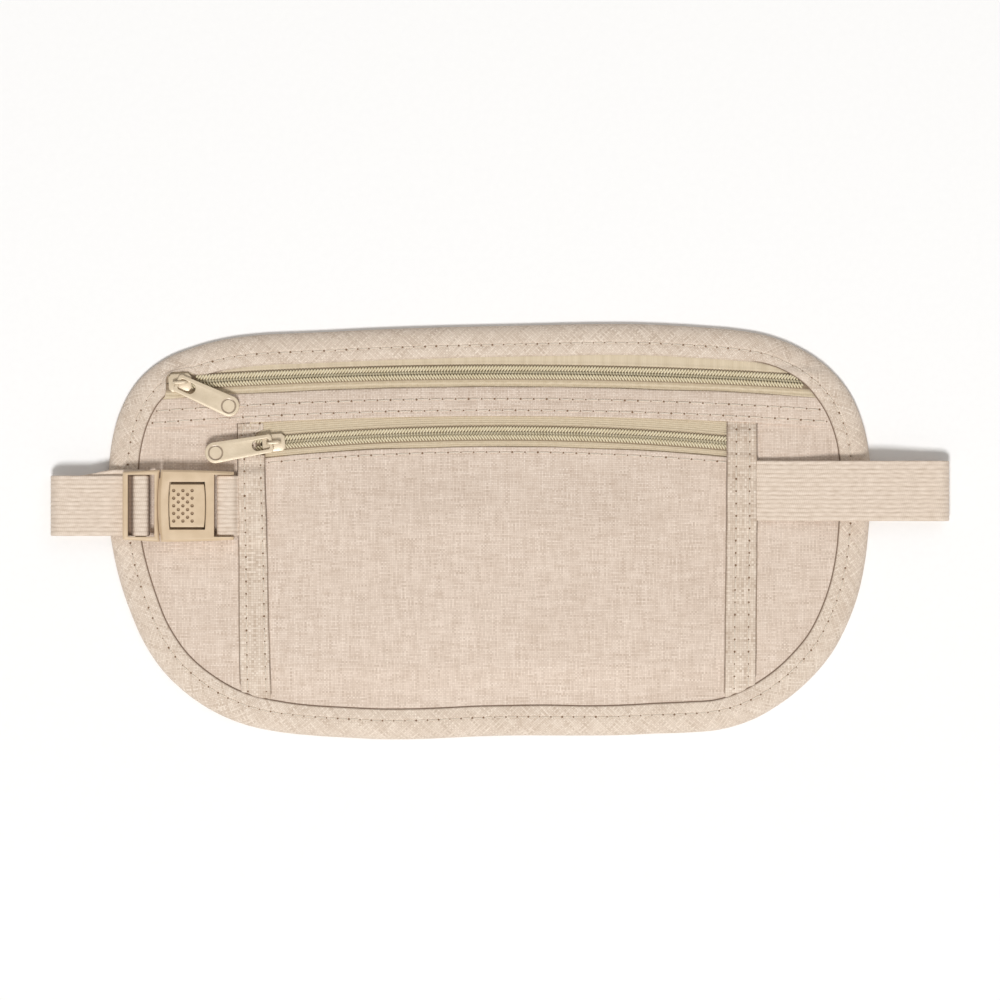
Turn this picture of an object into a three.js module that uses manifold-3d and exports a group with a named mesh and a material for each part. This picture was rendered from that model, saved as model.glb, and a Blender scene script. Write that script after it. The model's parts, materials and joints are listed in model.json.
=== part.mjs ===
// Money belt: a flat pouch with two zipped pockets, a waist strap and a push-button buckle.
// It lies on its back: +X to the wearer's left, +Y to the top edge, +Z out of the front. Millimetres.
import * as THREE from 'three';
import { mergeVertices } from 'three/addons/utils/BufferGeometryUtils.js';
import Module from 'manifold-3d';

const wasm = await Module();
wasm.setup();

// ---------------------------------------------------------------- driving dimensions

// Pouch outline, clockwise from the left edge; a closed smooth curve runs through these points.
const OUTLINE_POINTS = [
  [-145, 8], [-142, 43], [-129.5, 62.5], [-103, 73.5], [-60, 77], [5, 79.2], [70, 79.4],
  [112, 73.8], [134.5, 58.8], [144.5, 38], [146, 8], [141, -25.5], [127, -52], [98, -72.8],
  [60, -77], [5, -77.6], [-45, -78.8], [-97.5, -71.8], [-125, -52], [-140, -21],
];
const OUTLINE_STEPS = 60;
const FABRIC = 0.5;
const GAP = 0.25;

// Edge binding: a folded tape with a thin rim, open on its inner side to hold the panels.
const BINDING_WIDTH = 11.5;
const BINDING_RIM_Z = 3;
const BINDING_TOP_Z = 6.4;
const BINDING_SLOPE_RUN = 8;
const GROOVE_Z = 2.45;
const PANEL_GROOVE = { inset: 5.6, top: 4.7 };
const TAPE_GROOVE = { inset: 8.3, top: 5.8 };
const SLIDER_CHANNEL = { half: 3.8, below: 0.4, left: -122.6, right: 113.8 };
const STRAP_NOTCH = { side: 2, left: [-160, -110], right: [110, 160], above: 0.15 };

// Panels. Each pocket stands open by POCKET_ROOM.
const PANEL_INSET = PANEL_GROOVE.inset + 0.3;
const INSIDE_BINDING = BINDING_WIDTH + 0.5;
const POCKET_ROOM = 4.3;
const BACK_Z = 2.6;
const MAIN_RIM_Z = 3.3;
const MAIN_TOP_Z = BACK_Z + FABRIC + POCKET_ROOM + FABRIC;
const MAIN_SLOPE_RUN = 16;
const MAIN_ROOF = { y: 8, z: MAIN_TOP_Z, farY: 46, farZ: 4.6 };
const MAIN_EDGE_Y = 47;
const POCKET_LEFT = -82;
const POCKET_RIGHT = 89.8;
const POCKET_RIM_Z = 8.4;
const POCKET_BASE_Z = 4;
const POCKET_SLOPE_RUN = 14;
const POCKET_TOP_Z = MAIN_TOP_Z + POCKET_ROOM + FABRIC;
const POCKET_ROOF = { y: 8, z: POCKET_TOP_Z, farY: 33, farZ: 8.15 };
const FLANGE = { left: -91.5, right: 96, bottom: -52, top: 28, z: MAIN_TOP_Z + 0.3 };

// Seam tapes: the middle of the tape's thickness at its level, raised and lowest stretches.
const SEAM_TAPE = { z: 9.2, overTabZ: 10.6, overStrapZ: 9.75, footZ: 6.6 };

// Zippers. Each chain is an arc with its apex at x = APEX_X; z is the middle of the tapes.
const APEX_X = 4.6;
const UPPER = { apexY: 61.4, radius: 1861, z: 5.5, sliderX: -117.5 };
const LOWER = { apexY: 38.2, radius: 976, z: 7.3, sliderX: -81.7 };
const TAPE_THICKNESS = 0.4;
const SLIT_HALF = 0.6;
const COIL = { outer: 2.6, bottom: 0.25, top: 1.5 };
const UPPER_TAPE = { above: 13, below: 9.5, left: -128, right: 128 };
const LOWER_TAPE = { above: 6.6, below: 5, left: -91, right: 96 };
const BAND = { upper: -5.6, upperZ: 6.05, lower: -16.8, lowerZ: 7.85, left: -134, right: 133 };
const POCKET_EDGE_BELOW_CHAIN = 5.2;

const SLIDER = { length: 8.8, halfWidth: 3.4, plate: 0.7, topZ: 1.65, bottomZ: -0.35, post: 0.35 };
const CROWN = { halfLength: 2.8, height: 2.8, wall: 0.7, width: 1 };
const PIVOT_Z = SLIDER.topZ + SLIDER.plate + 1.05;
const PULL = { reach: 21.4, endRadius: 4.1, halfWidth: 3.5, bar: 0.65, thickness: 1.2 };
const UPPER_PULL = { pivotX: -0.9, direction: -24.4 };
const LOWER_PULL = { pivotX: -1, direction: 189.8 };

// Waist strap: 25 mm webbing that measures 23 mm, 1 mm thick.
const WEBBING = { width: 23, thickness: 1 };
const RIGHT_STRAP_Y = 16.1;
const LEFT_STRAP_Y = 10.4;
const STRAP_UNDER_Z = WEBBING.thickness / 2;
const RIGHT_FOLD_X = 176.3;
const LEFT_FOLD_X = -167.1;
const RIGHT_FRONT_Z = 8.65;
const LEFT_FRONT_Z = 9.9;
const TAIL_Z = { front: 8.65, under: 1.65 };
const TAIL_END_X = 60;
const STRAP_SPLIT_X = -40;

// Buckle, on the left strap's centre line.
const BUCKLE_Z = 8.15;
const SOCKET = { left: -124.4, right: -96.8, height: 6.5, halfHeight: 13.7, slot: -104.3 };
const CAVITY = { half: 10.9, bottom: BUCKLE_Z + 1.5, top: BUCKLE_Z + 3.9, end: -106.5 };
const END_BAR = { left: -101.5, right: -98, bottom: 9.4, top: 11.6 };
const WEBBING_ROOM = WEBBING.width / 2 + 0.3;
const INSERT = { left: -139.1, right: -125, bottom: 10.65, top: 14.25 };
const INSERT_WINDOW = { left: -137.1, right: -127 };
const MIDDLE_BAR = { left: -134.3, right: -130.3, top: 12.55 };
const WRAP = { left: -135.3, right: -129.3, z: 13.3 };
const BLADE = { tip: -108, bottom: 9.95, top: 11.75, half: 10.6, slit: 4.1 };
const BUTTON = { left: -120.9, right: -108, halfHeight: 8.5, bottom: 13.25, lip: 0.4, top: 15.35 };
const BUTTON_LEDGE_Z = 13.85;

const fabricColour = '#dfcdb8';
const materials = {
  fabric: { color: fabricColour, roughness: 0.95, metalness: 0 },
  lining: { color: '#cfc0ac', roughness: 0.95, metalness: 0 },
  binding: { color: '#dccab2', roughness: 0.95, metalness: 0 },
  webbing: { color: '#e3d3be', roughness: 0.9, metalness: 0 },
  zipperTape: { color: '#c6b896', roughness: 0.9, metalness: 0 },
  coil: { color: '#cbbd9b', roughness: 0.5, metalness: 0 },
  hardware: { color: '#cdbb9a', roughness: 0.4, metalness: 0.3 },
  plastic: { color: '#d6bf98', roughness: 0.45, metalness: 0 },
};

// ---------------------------------------------------------------- solids

const X = new THREE.Vector3(1, 0, 0);
const Y = new THREE.Vector3(0, 1, 0);
const Z = new THREE.Vector3(0, 0, 1);

function solid(geometry) {
  const bare = geometry.clone();
  bare.deleteAttribute('normal');
  bare.deleteAttribute('uv');
  const merged = mergeVertices(bare, 1e-5);
  const mesh = new wasm.Mesh({
    numProp: 3,
    vertProperties: new Float32Array(merged.attributes.position.array),
    triVerts: new Uint32Array(merged.index.array),
  });
  return new wasm.Manifold(mesh);
}

function geometryOf(manifold) {
  const mesh = manifold.getMesh();
  const geometry = new THREE.BufferGeometry();
  geometry.setAttribute('position', new THREE.BufferAttribute(mesh.vertProperties, 3));
  geometry.setIndex(new THREE.BufferAttribute(mesh.triVerts, 1));
  geometry.computeVertexNormals();
  return geometry;
}

const shapeOf = (points) => new THREE.Shape(points.map(([x, y]) => new THREE.Vector2(x, y)));

function prism(shape, low, high) {
  const geometry = new THREE.ExtrudeGeometry(shape, {
    depth: high - low, bevelEnabled: false, curveSegments: 6,
  });
  return solid(geometry.translate(0, 0, low));
}

// A prism whose top and bottom edges are chamfered inward.
function chamferedPrism(shape, low, high, chamfer) {
  const geometry = new THREE.ExtrudeGeometry(shape, {
    depth: high - low - 2 * chamfer, curveSegments: 6, bevelSegments: 1,
    bevelThickness: chamfer, bevelSize: chamfer, bevelOffset: -chamfer,
  });
  return solid(geometry.translate(0, 0, low + chamfer));
}

function box(x0, x1, y0, y1, z0, z1) {
  const geometry = new THREE.BoxGeometry(x1 - x0, y1 - y0, z1 - z0);
  return solid(geometry.translate((x0 + x1) / 2, (y0 + y1) / 2, (z0 + z1) / 2));
}

// A shape drawn along two axes and extruded along the third one, across, from low to high.
function extrudeAcross(shape, along, up, across, low, high) {
  const geometry = new THREE.ExtrudeGeometry(shape, { depth: high - low, bevelEnabled: false });
  geometry.translate(0, 0, low);
  return solid(geometry.applyMatrix4(new THREE.Matrix4().makeBasis(along, up, across)));
}

// The outline of a strip of the given thickness that follows a centre line, with mitred corners.
function stripShape(line, thickness) {
  const points = line.map(([x, y]) => new THREE.Vector2(x, y));
  const side = (sign) => points.map((point, i) => {
    const before = points[i].clone().sub(points[Math.max(i - 1, 0)]).normalize();
    const after = points[Math.min(i + 1, points.length - 1)].clone().sub(point).normalize();
    const first = i === 0 ? after : before;
    const second = i === points.length - 1 ? before : after;
    const mitre = first.clone().add(second).normalize();
    const reach = (sign * thickness) / 2 / mitre.dot(first);
    return [point.x - mitre.y * reach, point.y + mitre.x * reach];
  });
  return shapeOf([...side(1), ...side(-1).reverse()]);
}

// A webbing ribbon that follows a line in the XZ plane, centred on y.
function ribbon(line, y) {
  const half = WEBBING.width / 2;
  const shape = stripShape(line, WEBBING.thickness);
  return extrudeAcross(shape, X, Z, Y.clone().negate(), -y - half, -y + half);
}

// Points of a half turn about (x, z), from the start angle, in degrees, to the end angle.
function halfTurn(x, z, radius, start, end, steps = 8) {
  return Array.from({ length: steps + 1 }, (_, i) => {
    const angle = THREE.MathUtils.degToRad(start + ((end - start) * i) / steps);
    return [x + radius * Math.cos(angle), z + radius * Math.sin(angle)];
  });
}

// ---------------------------------------------------------------- pouch outline

const outlineCurve = new THREE.CatmullRomCurve3(
  OUTLINE_POINTS.map(([x, y]) => new THREE.Vector3(x, y, 0)), true, 'centripetal');

function insetOutline(inset) {
  return Array.from({ length: OUTLINE_STEPS }, (_, i) => {
    const point = outlineCurve.getPointAt(i / OUTLINE_STEPS);
    const tangent = outlineCurve.getTangentAt(i / OUTLINE_STEPS);
    return [point.x + tangent.y * inset, point.y - tangent.x * inset];
  });
}

const insetPrism = (inset, low, high) => prism(shapeOf(insetOutline(inset)), low, high);
const insideBinding = insetPrism(INSIDE_BINDING, -1, 20);

// A flat-topped mound: a vertical rim, then a slope that runs inward and rises to the top.
function mound(inset, low, rim, top, run) {
  const geometry = new THREE.ExtrudeGeometry(shapeOf(insetOutline(inset)), {
    depth: rim, bevelSegments: 1, bevelThickness: top - low - rim,
    bevelSize: run, bevelOffset: -run,
  });
  const whole = solid(geometry.translate(0, 0, low));
  return whole.subtract(box(-200, 200, -100, 100, low - 50, low));
}

// Everything below a sloping plane that passes through (y, z) and (farY, farZ), as far as x reaches.
function belowRoof({ y, z, farY, farZ }, drop = 0) {
  const slope = (farZ - z) / (farY - y);
  const at = (where) => z - drop + slope * (where - y);
  const shape = shapeOf([[-120, -40], [120, -40], [120, at(120)], [-120, at(-120)]]);
  return extrudeAcross(shape, Y, Z, X, -200, 200);
}

// ---------------------------------------------------------------- zipper chains

class ChainArc extends THREE.Curve {
  constructor(zipper, fromX, toX) {
    super();
    this.zipper = zipper;
    this.angles = [fromX, toX].map((x) => Math.asin((x - APEX_X) / zipper.radius));
  }

  getPoint(t, target = new THREE.Vector3()) {
    const angle = THREE.MathUtils.lerp(...this.angles, t);
    const { apexY, radius } = this.zipper;
    return target.set(
      APEX_X + radius * Math.sin(angle), apexY - radius * (1 - Math.cos(angle)), 0);
  }
}

// A bar that runs beside a chain. The section's points are [distance above the chain, z].
function alongChain(zipper, section, fromX, toX, steps = 20) {
  const shape = shapeOf(section.map(([y, z]) => [-z, y]));
  const extrudePath = new ChainArc(zipper, fromX, toX);
  return solid(new THREE.ExtrudeGeometry(shape, { steps, extrudePath, bevelEnabled: false }));
}

const rectangle = (y0, y1, z0, z1) => [[y0, z0], [y1, z0], [y1, z1], [y0, z1]];

function zipperHalf(zipper, sign, tapeReach, fromX, toX) {
  const low = zipper.z - TAPE_THICKNESS / 2;
  const edges = [sign * SLIT_HALF, sign * tapeReach].sort((a, b) => a - b);
  const coilEdges = [sign * SLIT_HALF, sign * COIL.outer].sort((a, b) => a - b);
  const coilSection = rectangle(...coilEdges, zipper.z + COIL.bottom, zipper.z + COIL.top);
  return {
    tape: alongChain(zipper, rectangle(...edges, low, low + TAPE_THICKNESS), fromX, toX),
    coil: alongChain(zipper, coilSection, fromX, toX),
  };
}

function sliderBody() {
  const { length, halfWidth, plate, topZ, bottomZ, post } = SLIDER;
  const half = length / 2;
  const corner = 1.2;
  const outline = shapeOf([
    [-half, -halfWidth + corner], [-half, halfWidth - corner], [-half + corner, halfWidth],
    [half - corner, halfWidth], [half, halfWidth - corner], [half, -halfWidth + corner],
    [half - corner, -halfWidth], [-half + corner, -halfWidth],
  ]);
  const flangeZ = 0.45;
  const flangeWall = 0.55;
  const inner = halfWidth - flangeWall;
  const flanges = prism(outline, flangeZ, topZ + 0.1)
    .subtract(box(-half - 1, half + 1, -inner, inner, flangeZ - 1, topZ + 1));
  const diamond = shapeOf([
    [-half + 0.3, 0], [-half + 1.2, post], [-half + 2.6, post], [-half + 3.4, 0],
    [-half + 2.6, -post], [-half + 1.2, -post],
  ]);
  return prism(outline, topZ, topZ + plate)
    .add(prism(outline, bottomZ - plate, bottomZ))
    .add(flanges)
    .add(prism(diamond, bottomZ - plate / 2, topZ + plate / 2));
}

function sliderCrown() {
  const { halfLength, height, wall, width } = CROWN;
  const foot = halfLength - wall - 0.1;
  const slant = 0.8;
  const arch = shapeOf([
    [-halfLength, 0], [-halfLength, height - slant], [-halfLength + slant, height],
    [halfLength - slant, height], [halfLength, height - slant], [halfLength, 0],
    [foot, 0], [foot, height - wall - 0.5], [foot - 0.5, height - wall],
    [-foot + 0.5, height - wall], [-foot, height - wall - 0.5], [-foot, 0],
  ]);
  const base = SLIDER.topZ + SLIDER.plate + 0.1;
  return extrudeAcross(arch, X, Z, Y.clone().negate(), -width / 2, width / 2)
    .translate([0, 0, base]);
}

// The pull reaches along +X from its pivot, which is the bar under the slider's crown.
function pullTab() {
  const { reach, endRadius, halfWidth, bar, thickness } = PULL;
  const outline = new THREE.Shape();
  outline.moveTo(-bar, -halfWidth + 1.3);
  outline.quadraticCurveTo(-bar, -halfWidth, 1.2, -halfWidth);
  outline.lineTo(reach - 3, -endRadius + 0.1);
  outline.absarc(reach, 0, endRadius, -Math.PI / 2, Math.PI / 2, false);
  outline.lineTo(reach - 3, endRadius - 0.1);
  outline.lineTo(1.2, halfWidth);
  outline.quadraticCurveTo(-bar, halfWidth, -bar, halfWidth - 1.3);
  const slot = new THREE.Shape();
  const slotEnd = 7.4;
  const slotHalf = 2.2;
  const corner = 0.7;
  slot.moveTo(bar, -slotHalf + corner);
  slot.quadraticCurveTo(bar, -slotHalf, bar + corner, -slotHalf);
  slot.absarc(slotEnd - slotHalf, 0, slotHalf, -Math.PI / 2, Math.PI / 2, false);
  slot.lineTo(bar + corner, slotHalf);
  slot.quadraticCurveTo(bar, slotHalf, bar, slotHalf - corner);
  const dimple = new THREE.CylinderGeometry(2.9, 2.9, 1, 20).rotateX(Math.PI / 2);
  const dimpleDepth = 0.3;
  return prism(outline, -thickness / 2, thickness / 2)
    .subtract(prism(slot, -2, 2))
    .subtract(solid(dimple.translate(reach, 0, thickness / 2 - dimpleDepth + 0.5)));
}

// ---------------------------------------------------------------- panels and binding

function edgeBinding() {
  const opening = insetPrism(BINDING_WIDTH, -1, 20);
  const strapNotch = ([x0, x1], y) => {
    const half = WEBBING.width / 2 + STRAP_NOTCH.side;
    return box(x0, x1, y - half, y + half, -1, GROOVE_Z + STRAP_NOTCH.above);
  };
  const { half, below, left, right } = SLIDER_CHANNEL;
  const channelFloor = UPPER.z + SLIDER.bottomZ - SLIDER.plate - below;
  const sliderChannel = alongChain(UPPER, rectangle(-half, half, channelFloor, 12), left, right);
  return mound(0, 0, BINDING_RIM_Z, BINDING_TOP_Z, BINDING_SLOPE_RUN)
    .subtract(opening)
    .subtract(insetPrism(TAPE_GROOVE.inset, GROOVE_Z, TAPE_GROOVE.top))
    .subtract(insetPrism(PANEL_GROOVE.inset, GROOVE_Z, PANEL_GROOVE.top))
    .subtract(strapNotch(STRAP_NOTCH.left, LEFT_STRAP_Y))
    .subtract(strapNotch(STRAP_NOTCH.right, RIGHT_STRAP_Y))
    .subtract(sliderChannel);
}

const backPanel = () => insetPrism(PANEL_INSET, BACK_Z, BACK_Z + FABRIC);

function mainMound(drop, lift = 0) {
  return mound(PANEL_INSET, MAIN_RIM_Z - drop, FABRIC, MAIN_TOP_Z - drop, MAIN_SLOPE_RUN)
    .intersect(belowRoof(MAIN_ROOF, drop))
    .translate([0, 0, lift]);
}

const mainPanel = () => mainMound(0)
  .subtract(mainMound(FABRIC))
  .intersect(box(-200, 200, -100, MAIN_EDGE_Y, 0, 20));

// The pocket's outer solid, or with a drop the room inside it.
function pocketMound(drop) {
  const left = POCKET_LEFT + drop;
  const right = POCKET_RIGHT - drop;
  const rim = POCKET_RIM_Z - drop;
  const top = POCKET_TOP_Z - drop;
  const base = POCKET_BASE_Z - drop;
  const crossSection = shapeOf([
    [left, base - 1], [right, base - 1], [right, rim], [right - POCKET_SLOPE_RUN, top],
    [left + POCKET_SLOPE_RUN, top], [left, rim],
  ]);
  return mound(INSIDE_BINDING + drop, base, rim - base, top, POCKET_SLOPE_RUN)
    .intersect(extrudeAcross(crossSection, X, Z, Y.clone().negate(), -60, 90))
    .intersect(belowRoof(POCKET_ROOF, drop));
}

function frontPocketPanel() {
  const { left, right, bottom, top, z } = FLANGE;
  const outer = pocketMound(0);
  const flange = box(left, right, bottom, top, z, z + FABRIC).intersect(insideBinding);
  const aboveEdge = alongChain(LOWER, rectangle(-POCKET_EDGE_BELOW_CHAIN, 30, 0, 20), -120, 130);
  return outer.subtract(pocketMound(FABRIC))
    .add(flange.subtract(outer))
    .subtract(mainMound(0, GAP))
    .subtract(aboveEdge);
}

function zipperBand() {
  const { upper, upperZ, lower, lowerZ, left, right } = BAND;
  const half = FABRIC / 2;
  const section = [
    [lower, lowerZ - half], [upper, upperZ - half], [upper, upperZ + half], [lower, lowerZ + half],
  ];
  return alongChain(UPPER, section, left, right).intersect(insideBinding);
}

// A seam tape: a strip that follows a profile of [y, z] points, cut to its four-cornered plan.
function seamTape(profile, plan) {
  return extrudeAcross(stripShape(profile, FABRIC), Y, Z, X, -110, 110)
    .intersect(prism(shapeOf(plan), 0, 20))
    .intersect(insideBinding);
}

// The left tape passes over the tab's two layers of webbing and stops short of the lower slider.
function leftSeamTape() {
  const { z, overTabZ, footZ } = SEAM_TAPE;
  const profile = [
    [44, z], [26, z], [23.2, overTabZ], [-2.6, overTabZ], [-5.4, z], [-52, z], [-70, footZ],
  ];
  const plan = [[-94.3, -70], [-82.6, -70], [-85.6, 40.2], [-95.4, 40.2]];
  const sliderRoom = box(-86.6, -80, 30, 39.4, 5, 12);
  return seamTape(profile, plan).subtract(sliderRoom);
}

// The right tape passes over the end of the strap.
function rightSeamTape() {
  const { z, overStrapZ, footZ } = SEAM_TAPE;
  const profile = [
    [46, z], [31, z], [29, overStrapZ], [3, overStrapZ], [1, z], [-52, z], [-70, footZ],
  ];
  const plan = [[90.4, -70], [102.2, -70], [102.7, 42.6], [91.6, 42.6]];
  return seamTape(profile, plan);
}

// ---------------------------------------------------------------- strap

function strapRightRun() {
  const radius = (RIGHT_FRONT_Z - STRAP_UNDER_Z) / 2;
  const foldX = RIGHT_FOLD_X - WEBBING.thickness / 2 - radius;
  const line = [
    [FLANGE.right + 1, RIGHT_FRONT_Z],
    ...halfTurn(foldX, STRAP_UNDER_Z + radius, radius, 90, -90),
    [STRAP_SPLIT_X + 0.5, STRAP_UNDER_Z],
  ];
  return ribbon(line, RIGHT_STRAP_Y);
}

const leftTurnX = LEFT_FOLD_X + WEBBING.thickness / 2 + (LEFT_FRONT_Z - STRAP_UNDER_Z) / 2;
const leftTurnZ = (LEFT_FRONT_Z + STRAP_UNDER_Z) / 2;
const wrapTopX = (WRAP.left + WRAP.right) / 2;

function strapLeftRun() {
  const line = [
    [STRAP_SPLIT_X - 0.5, STRAP_UNDER_Z],
    ...halfTurn(leftTurnX, leftTurnZ, LEFT_FRONT_Z - leftTurnZ, 270, 90),
    [WRAP.left, LEFT_FRONT_Z], [WRAP.left, WRAP.z], [wrapTopX - 0.15, WRAP.z],
  ];
  return ribbon(line, LEFT_STRAP_Y);
}

function strapTail() {
  const line = [
    [wrapTopX + 0.15, WRAP.z], [WRAP.right, WRAP.z], [WRAP.right, TAIL_Z.front],
    ...halfTurn(leftTurnX, leftTurnZ, TAIL_Z.front - leftTurnZ, 90, 270),
    [TAIL_END_X, TAIL_Z.under],
  ];
  return ribbon(line, LEFT_STRAP_Y);
}

function strapTab() {
  const slotX = -102.9;
  const overZ = 12.35;
  const line = [
    [-92, 9.75], [-95.6, 9.75], [-97.2, overZ], [slotX, overZ], [slotX, 8.65], [-92, 8.65],
  ];
  return ribbon(line, LEFT_STRAP_Y);
}

// ---------------------------------------------------------------- buckle (y = 0 is its centre line)

function socketShape() {
  const { left, right, halfHeight } = SOCKET;
  const bulge = 1.8;
  const armEnd = 12.9;
  const shape = new THREE.Shape();
  shape.moveTo(left, -halfHeight);
  shape.quadraticCurveTo(-108, -halfHeight, right, -armEnd);
  shape.lineTo(right, armEnd);
  shape.quadraticCurveTo(-108, halfHeight, left, halfHeight);
  shape.quadraticCurveTo(left - bulge, 0, left, -halfHeight);
  return shape;
}

function buttonShape(grow, slotGrow = grow) {
  const { left, right, halfHeight } = BUTTON;
  const bulge = 0.9;
  const half = halfHeight + slotGrow;
  const shape = new THREE.Shape();
  shape.moveTo(left - grow, -half);
  shape.lineTo(right + grow, -half);
  shape.quadraticCurveTo(right + grow + bulge, 0, right + grow, half);
  shape.lineTo(left - grow, half);
  shape.quadraticCurveTo(left - grow - bulge, 0, left - grow, -half);
  return shape;
}

function buckleSocket() {
  const { left, right, height, slot } = SOCKET;
  const { half, bottom, top, end } = CAVITY;
  const bar = box(END_BAR.left, END_BAR.right, -12.2, 12.2, END_BAR.bottom, END_BAR.top);
  const lipRoom = 1;
  return chamferedPrism(socketShape(), BUCKLE_Z, BUCKLE_Z + height, 0.8)
    .subtract(box(left - 5, end, -half, half, bottom, top))
    .subtract(prism(buttonShape(0.3, 0.6), BUTTON_LEDGE_Z - 1, 20))
    .subtract(prism(buttonShape(lipRoom, 0.6), top - 0.5, BUTTON_LEDGE_Z))
    .subtract(box(slot, right + 1, -WEBBING_ROOM, WEBBING_ROOM, 0, 20))
    .add(bar);
}

function pushButton() {
  const { bottom, lip, top } = BUTTON;
  return chamferedPrism(buttonShape(0), bottom, top, 0.3)
    .add(prism(buttonShape(0.7, 0), bottom, bottom + lip));
}

function insertShape() {
  const { left, right } = INSERT;
  const leftHalf = 12.9;
  const rightHalf = SOCKET.halfHeight;
  const shape = new THREE.Shape();
  shape.moveTo(left, -leftHalf);
  shape.lineTo(right, -rightHalf);
  shape.quadraticCurveTo(right - 1.8, 0, right, rightHalf);
  shape.lineTo(left, leftHalf);
  return shape;
}

function buckleInsert() {
  const { bottom, top } = INSERT;
  const { tip, half, slit } = BLADE;
  const window = box(INSERT_WINDOW.left, INSERT_WINDOW.right, -WEBBING_ROOM, WEBBING_ROOM, 0, 20);
  const bar = box(MIDDLE_BAR.left, MIDDLE_BAR.right, -12.2, 12.2, bottom, MIDDLE_BAR.top);
  const bevel = { along: 3, across: 2 };
  const bladeShape = shapeOf([
    [INSERT_WINDOW.right, -half], [tip - bevel.along, -half], [tip, -half + bevel.across],
    [tip, half - bevel.across], [tip - bevel.along, half], [INSERT_WINDOW.right, half],
  ]);
  const slitRoot = -122;
  const slitWidth = 1;
  const slits = box(slitRoot, tip + 1, slit, slit + slitWidth, 5, 20)
    .add(box(slitRoot, tip + 1, -slit - slitWidth, -slit, 5, 20));
  const blade = prism(bladeShape, BLADE.bottom, BLADE.top).subtract(slits);
  return chamferedPrism(insertShape(), bottom, top, 0.6)
    .subtract(window)
    .add(bar)
    .add(blade);
}

// ---------------------------------------------------------------- assembly

const model = new THREE.Group();

function add(name, manifold, material, parent = model) {
  const mesh = new THREE.Mesh(
    geometryOf(manifold), new THREE.MeshStandardMaterial(materials[material]));
  mesh.name = name;
  parent.add(mesh);
  return mesh;
}

function addZipper(name, zipper, size, tapeBounds, coilBounds) {
  const halves = { top: [1, size.above], bottom: [-1, size.below] };
  for (const [side, [sign, reach]] of Object.entries(halves)) {
    const { tape, coil } = zipperHalf(zipper, sign, reach, size.left - 4, size.right + 4);
    add(`${name}_zipper_tape_${side}`, tape.intersect(tapeBounds), 'zipperTape');
    add(`${name}_coil_${side}`, coil.intersect(coilBounds), 'coil');
  }
}

function addSlider(name, zipper, pull) {
  const angle = Math.asin((zipper.sliderX - APEX_X) / zipper.radius);
  const group = new THREE.Group();
  const drop = zipper.radius * (1 - Math.cos(angle));
  group.position.set(zipper.sliderX, zipper.apexY - drop, zipper.z);
  group.rotation.z = -angle;
  model.add(group);
  add(`${name}_slider_body`, sliderBody(), 'hardware', group);
  add(`${name}_slider_crown`, sliderCrown(), 'hardware', group);
  const tab = add(`${name}_pull`, pullTab(), 'hardware', group);
  tab.position.set(pull.pivotX, 0, PIVOT_Z);
  tab.rotation.z = THREE.MathUtils.degToRad(pull.direction) + angle;
}

add('back_panel', backPanel(), 'lining');
add('main_panel', mainPanel(), 'fabric');
add('front_pocket_panel', frontPocketPanel(), 'fabric');
add('zipper_band', zipperBand(), 'fabric');
add('left_seam_tape', leftSeamTape(), 'binding');
add('right_seam_tape', rightSeamTape(), 'binding');
add('edge_binding', edgeBinding(), 'binding');

const underLip = insetPrism(TAPE_GROOVE.inset + 0.3, -1, 20);
addZipper('upper', UPPER, UPPER_TAPE, underLip, insideBinding);
const betweenTapes = box(LOWER_TAPE.left, LOWER_TAPE.right, 0, 60, 0, 20);
addZipper('lower', LOWER, LOWER_TAPE, betweenTapes, betweenTapes);
addSlider('upper', UPPER, UPPER_PULL);
addSlider('lower', LOWER, LOWER_PULL);

add('strap_right_run', strapRightRun(), 'webbing');
add('strap_left_run', strapLeftRun(), 'webbing');
add('strap_tail', strapTail(), 'webbing');
add('strap_tab', strapTab(), 'webbing');

const buckle = new THREE.Group();
buckle.position.y = LEFT_STRAP_Y;
model.add(buckle);
add('buckle_socket', buckleSocket(), 'plastic', buckle);
add('buckle_insert', buckleInsert(), 'plastic', buckle);
add('push_button', pushButton(), 'plastic', buckle);

// The origin is the middle of the base, so the whole model shifts to its own centre.
const centre = new THREE.Box3().setFromObject(model, true).getCenter(new THREE.Vector3());
model.position.set(-centre.x, -centre.y, 0);

export default model;
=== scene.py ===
"""A money belt lying on its back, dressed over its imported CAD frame. Lengths are in millimetres
until a mesh is made, and positions come from the frame."""
import json
import math

import bmesh
import bpy
import numpy as np
from mathutils import Matrix, Vector, noise


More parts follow.
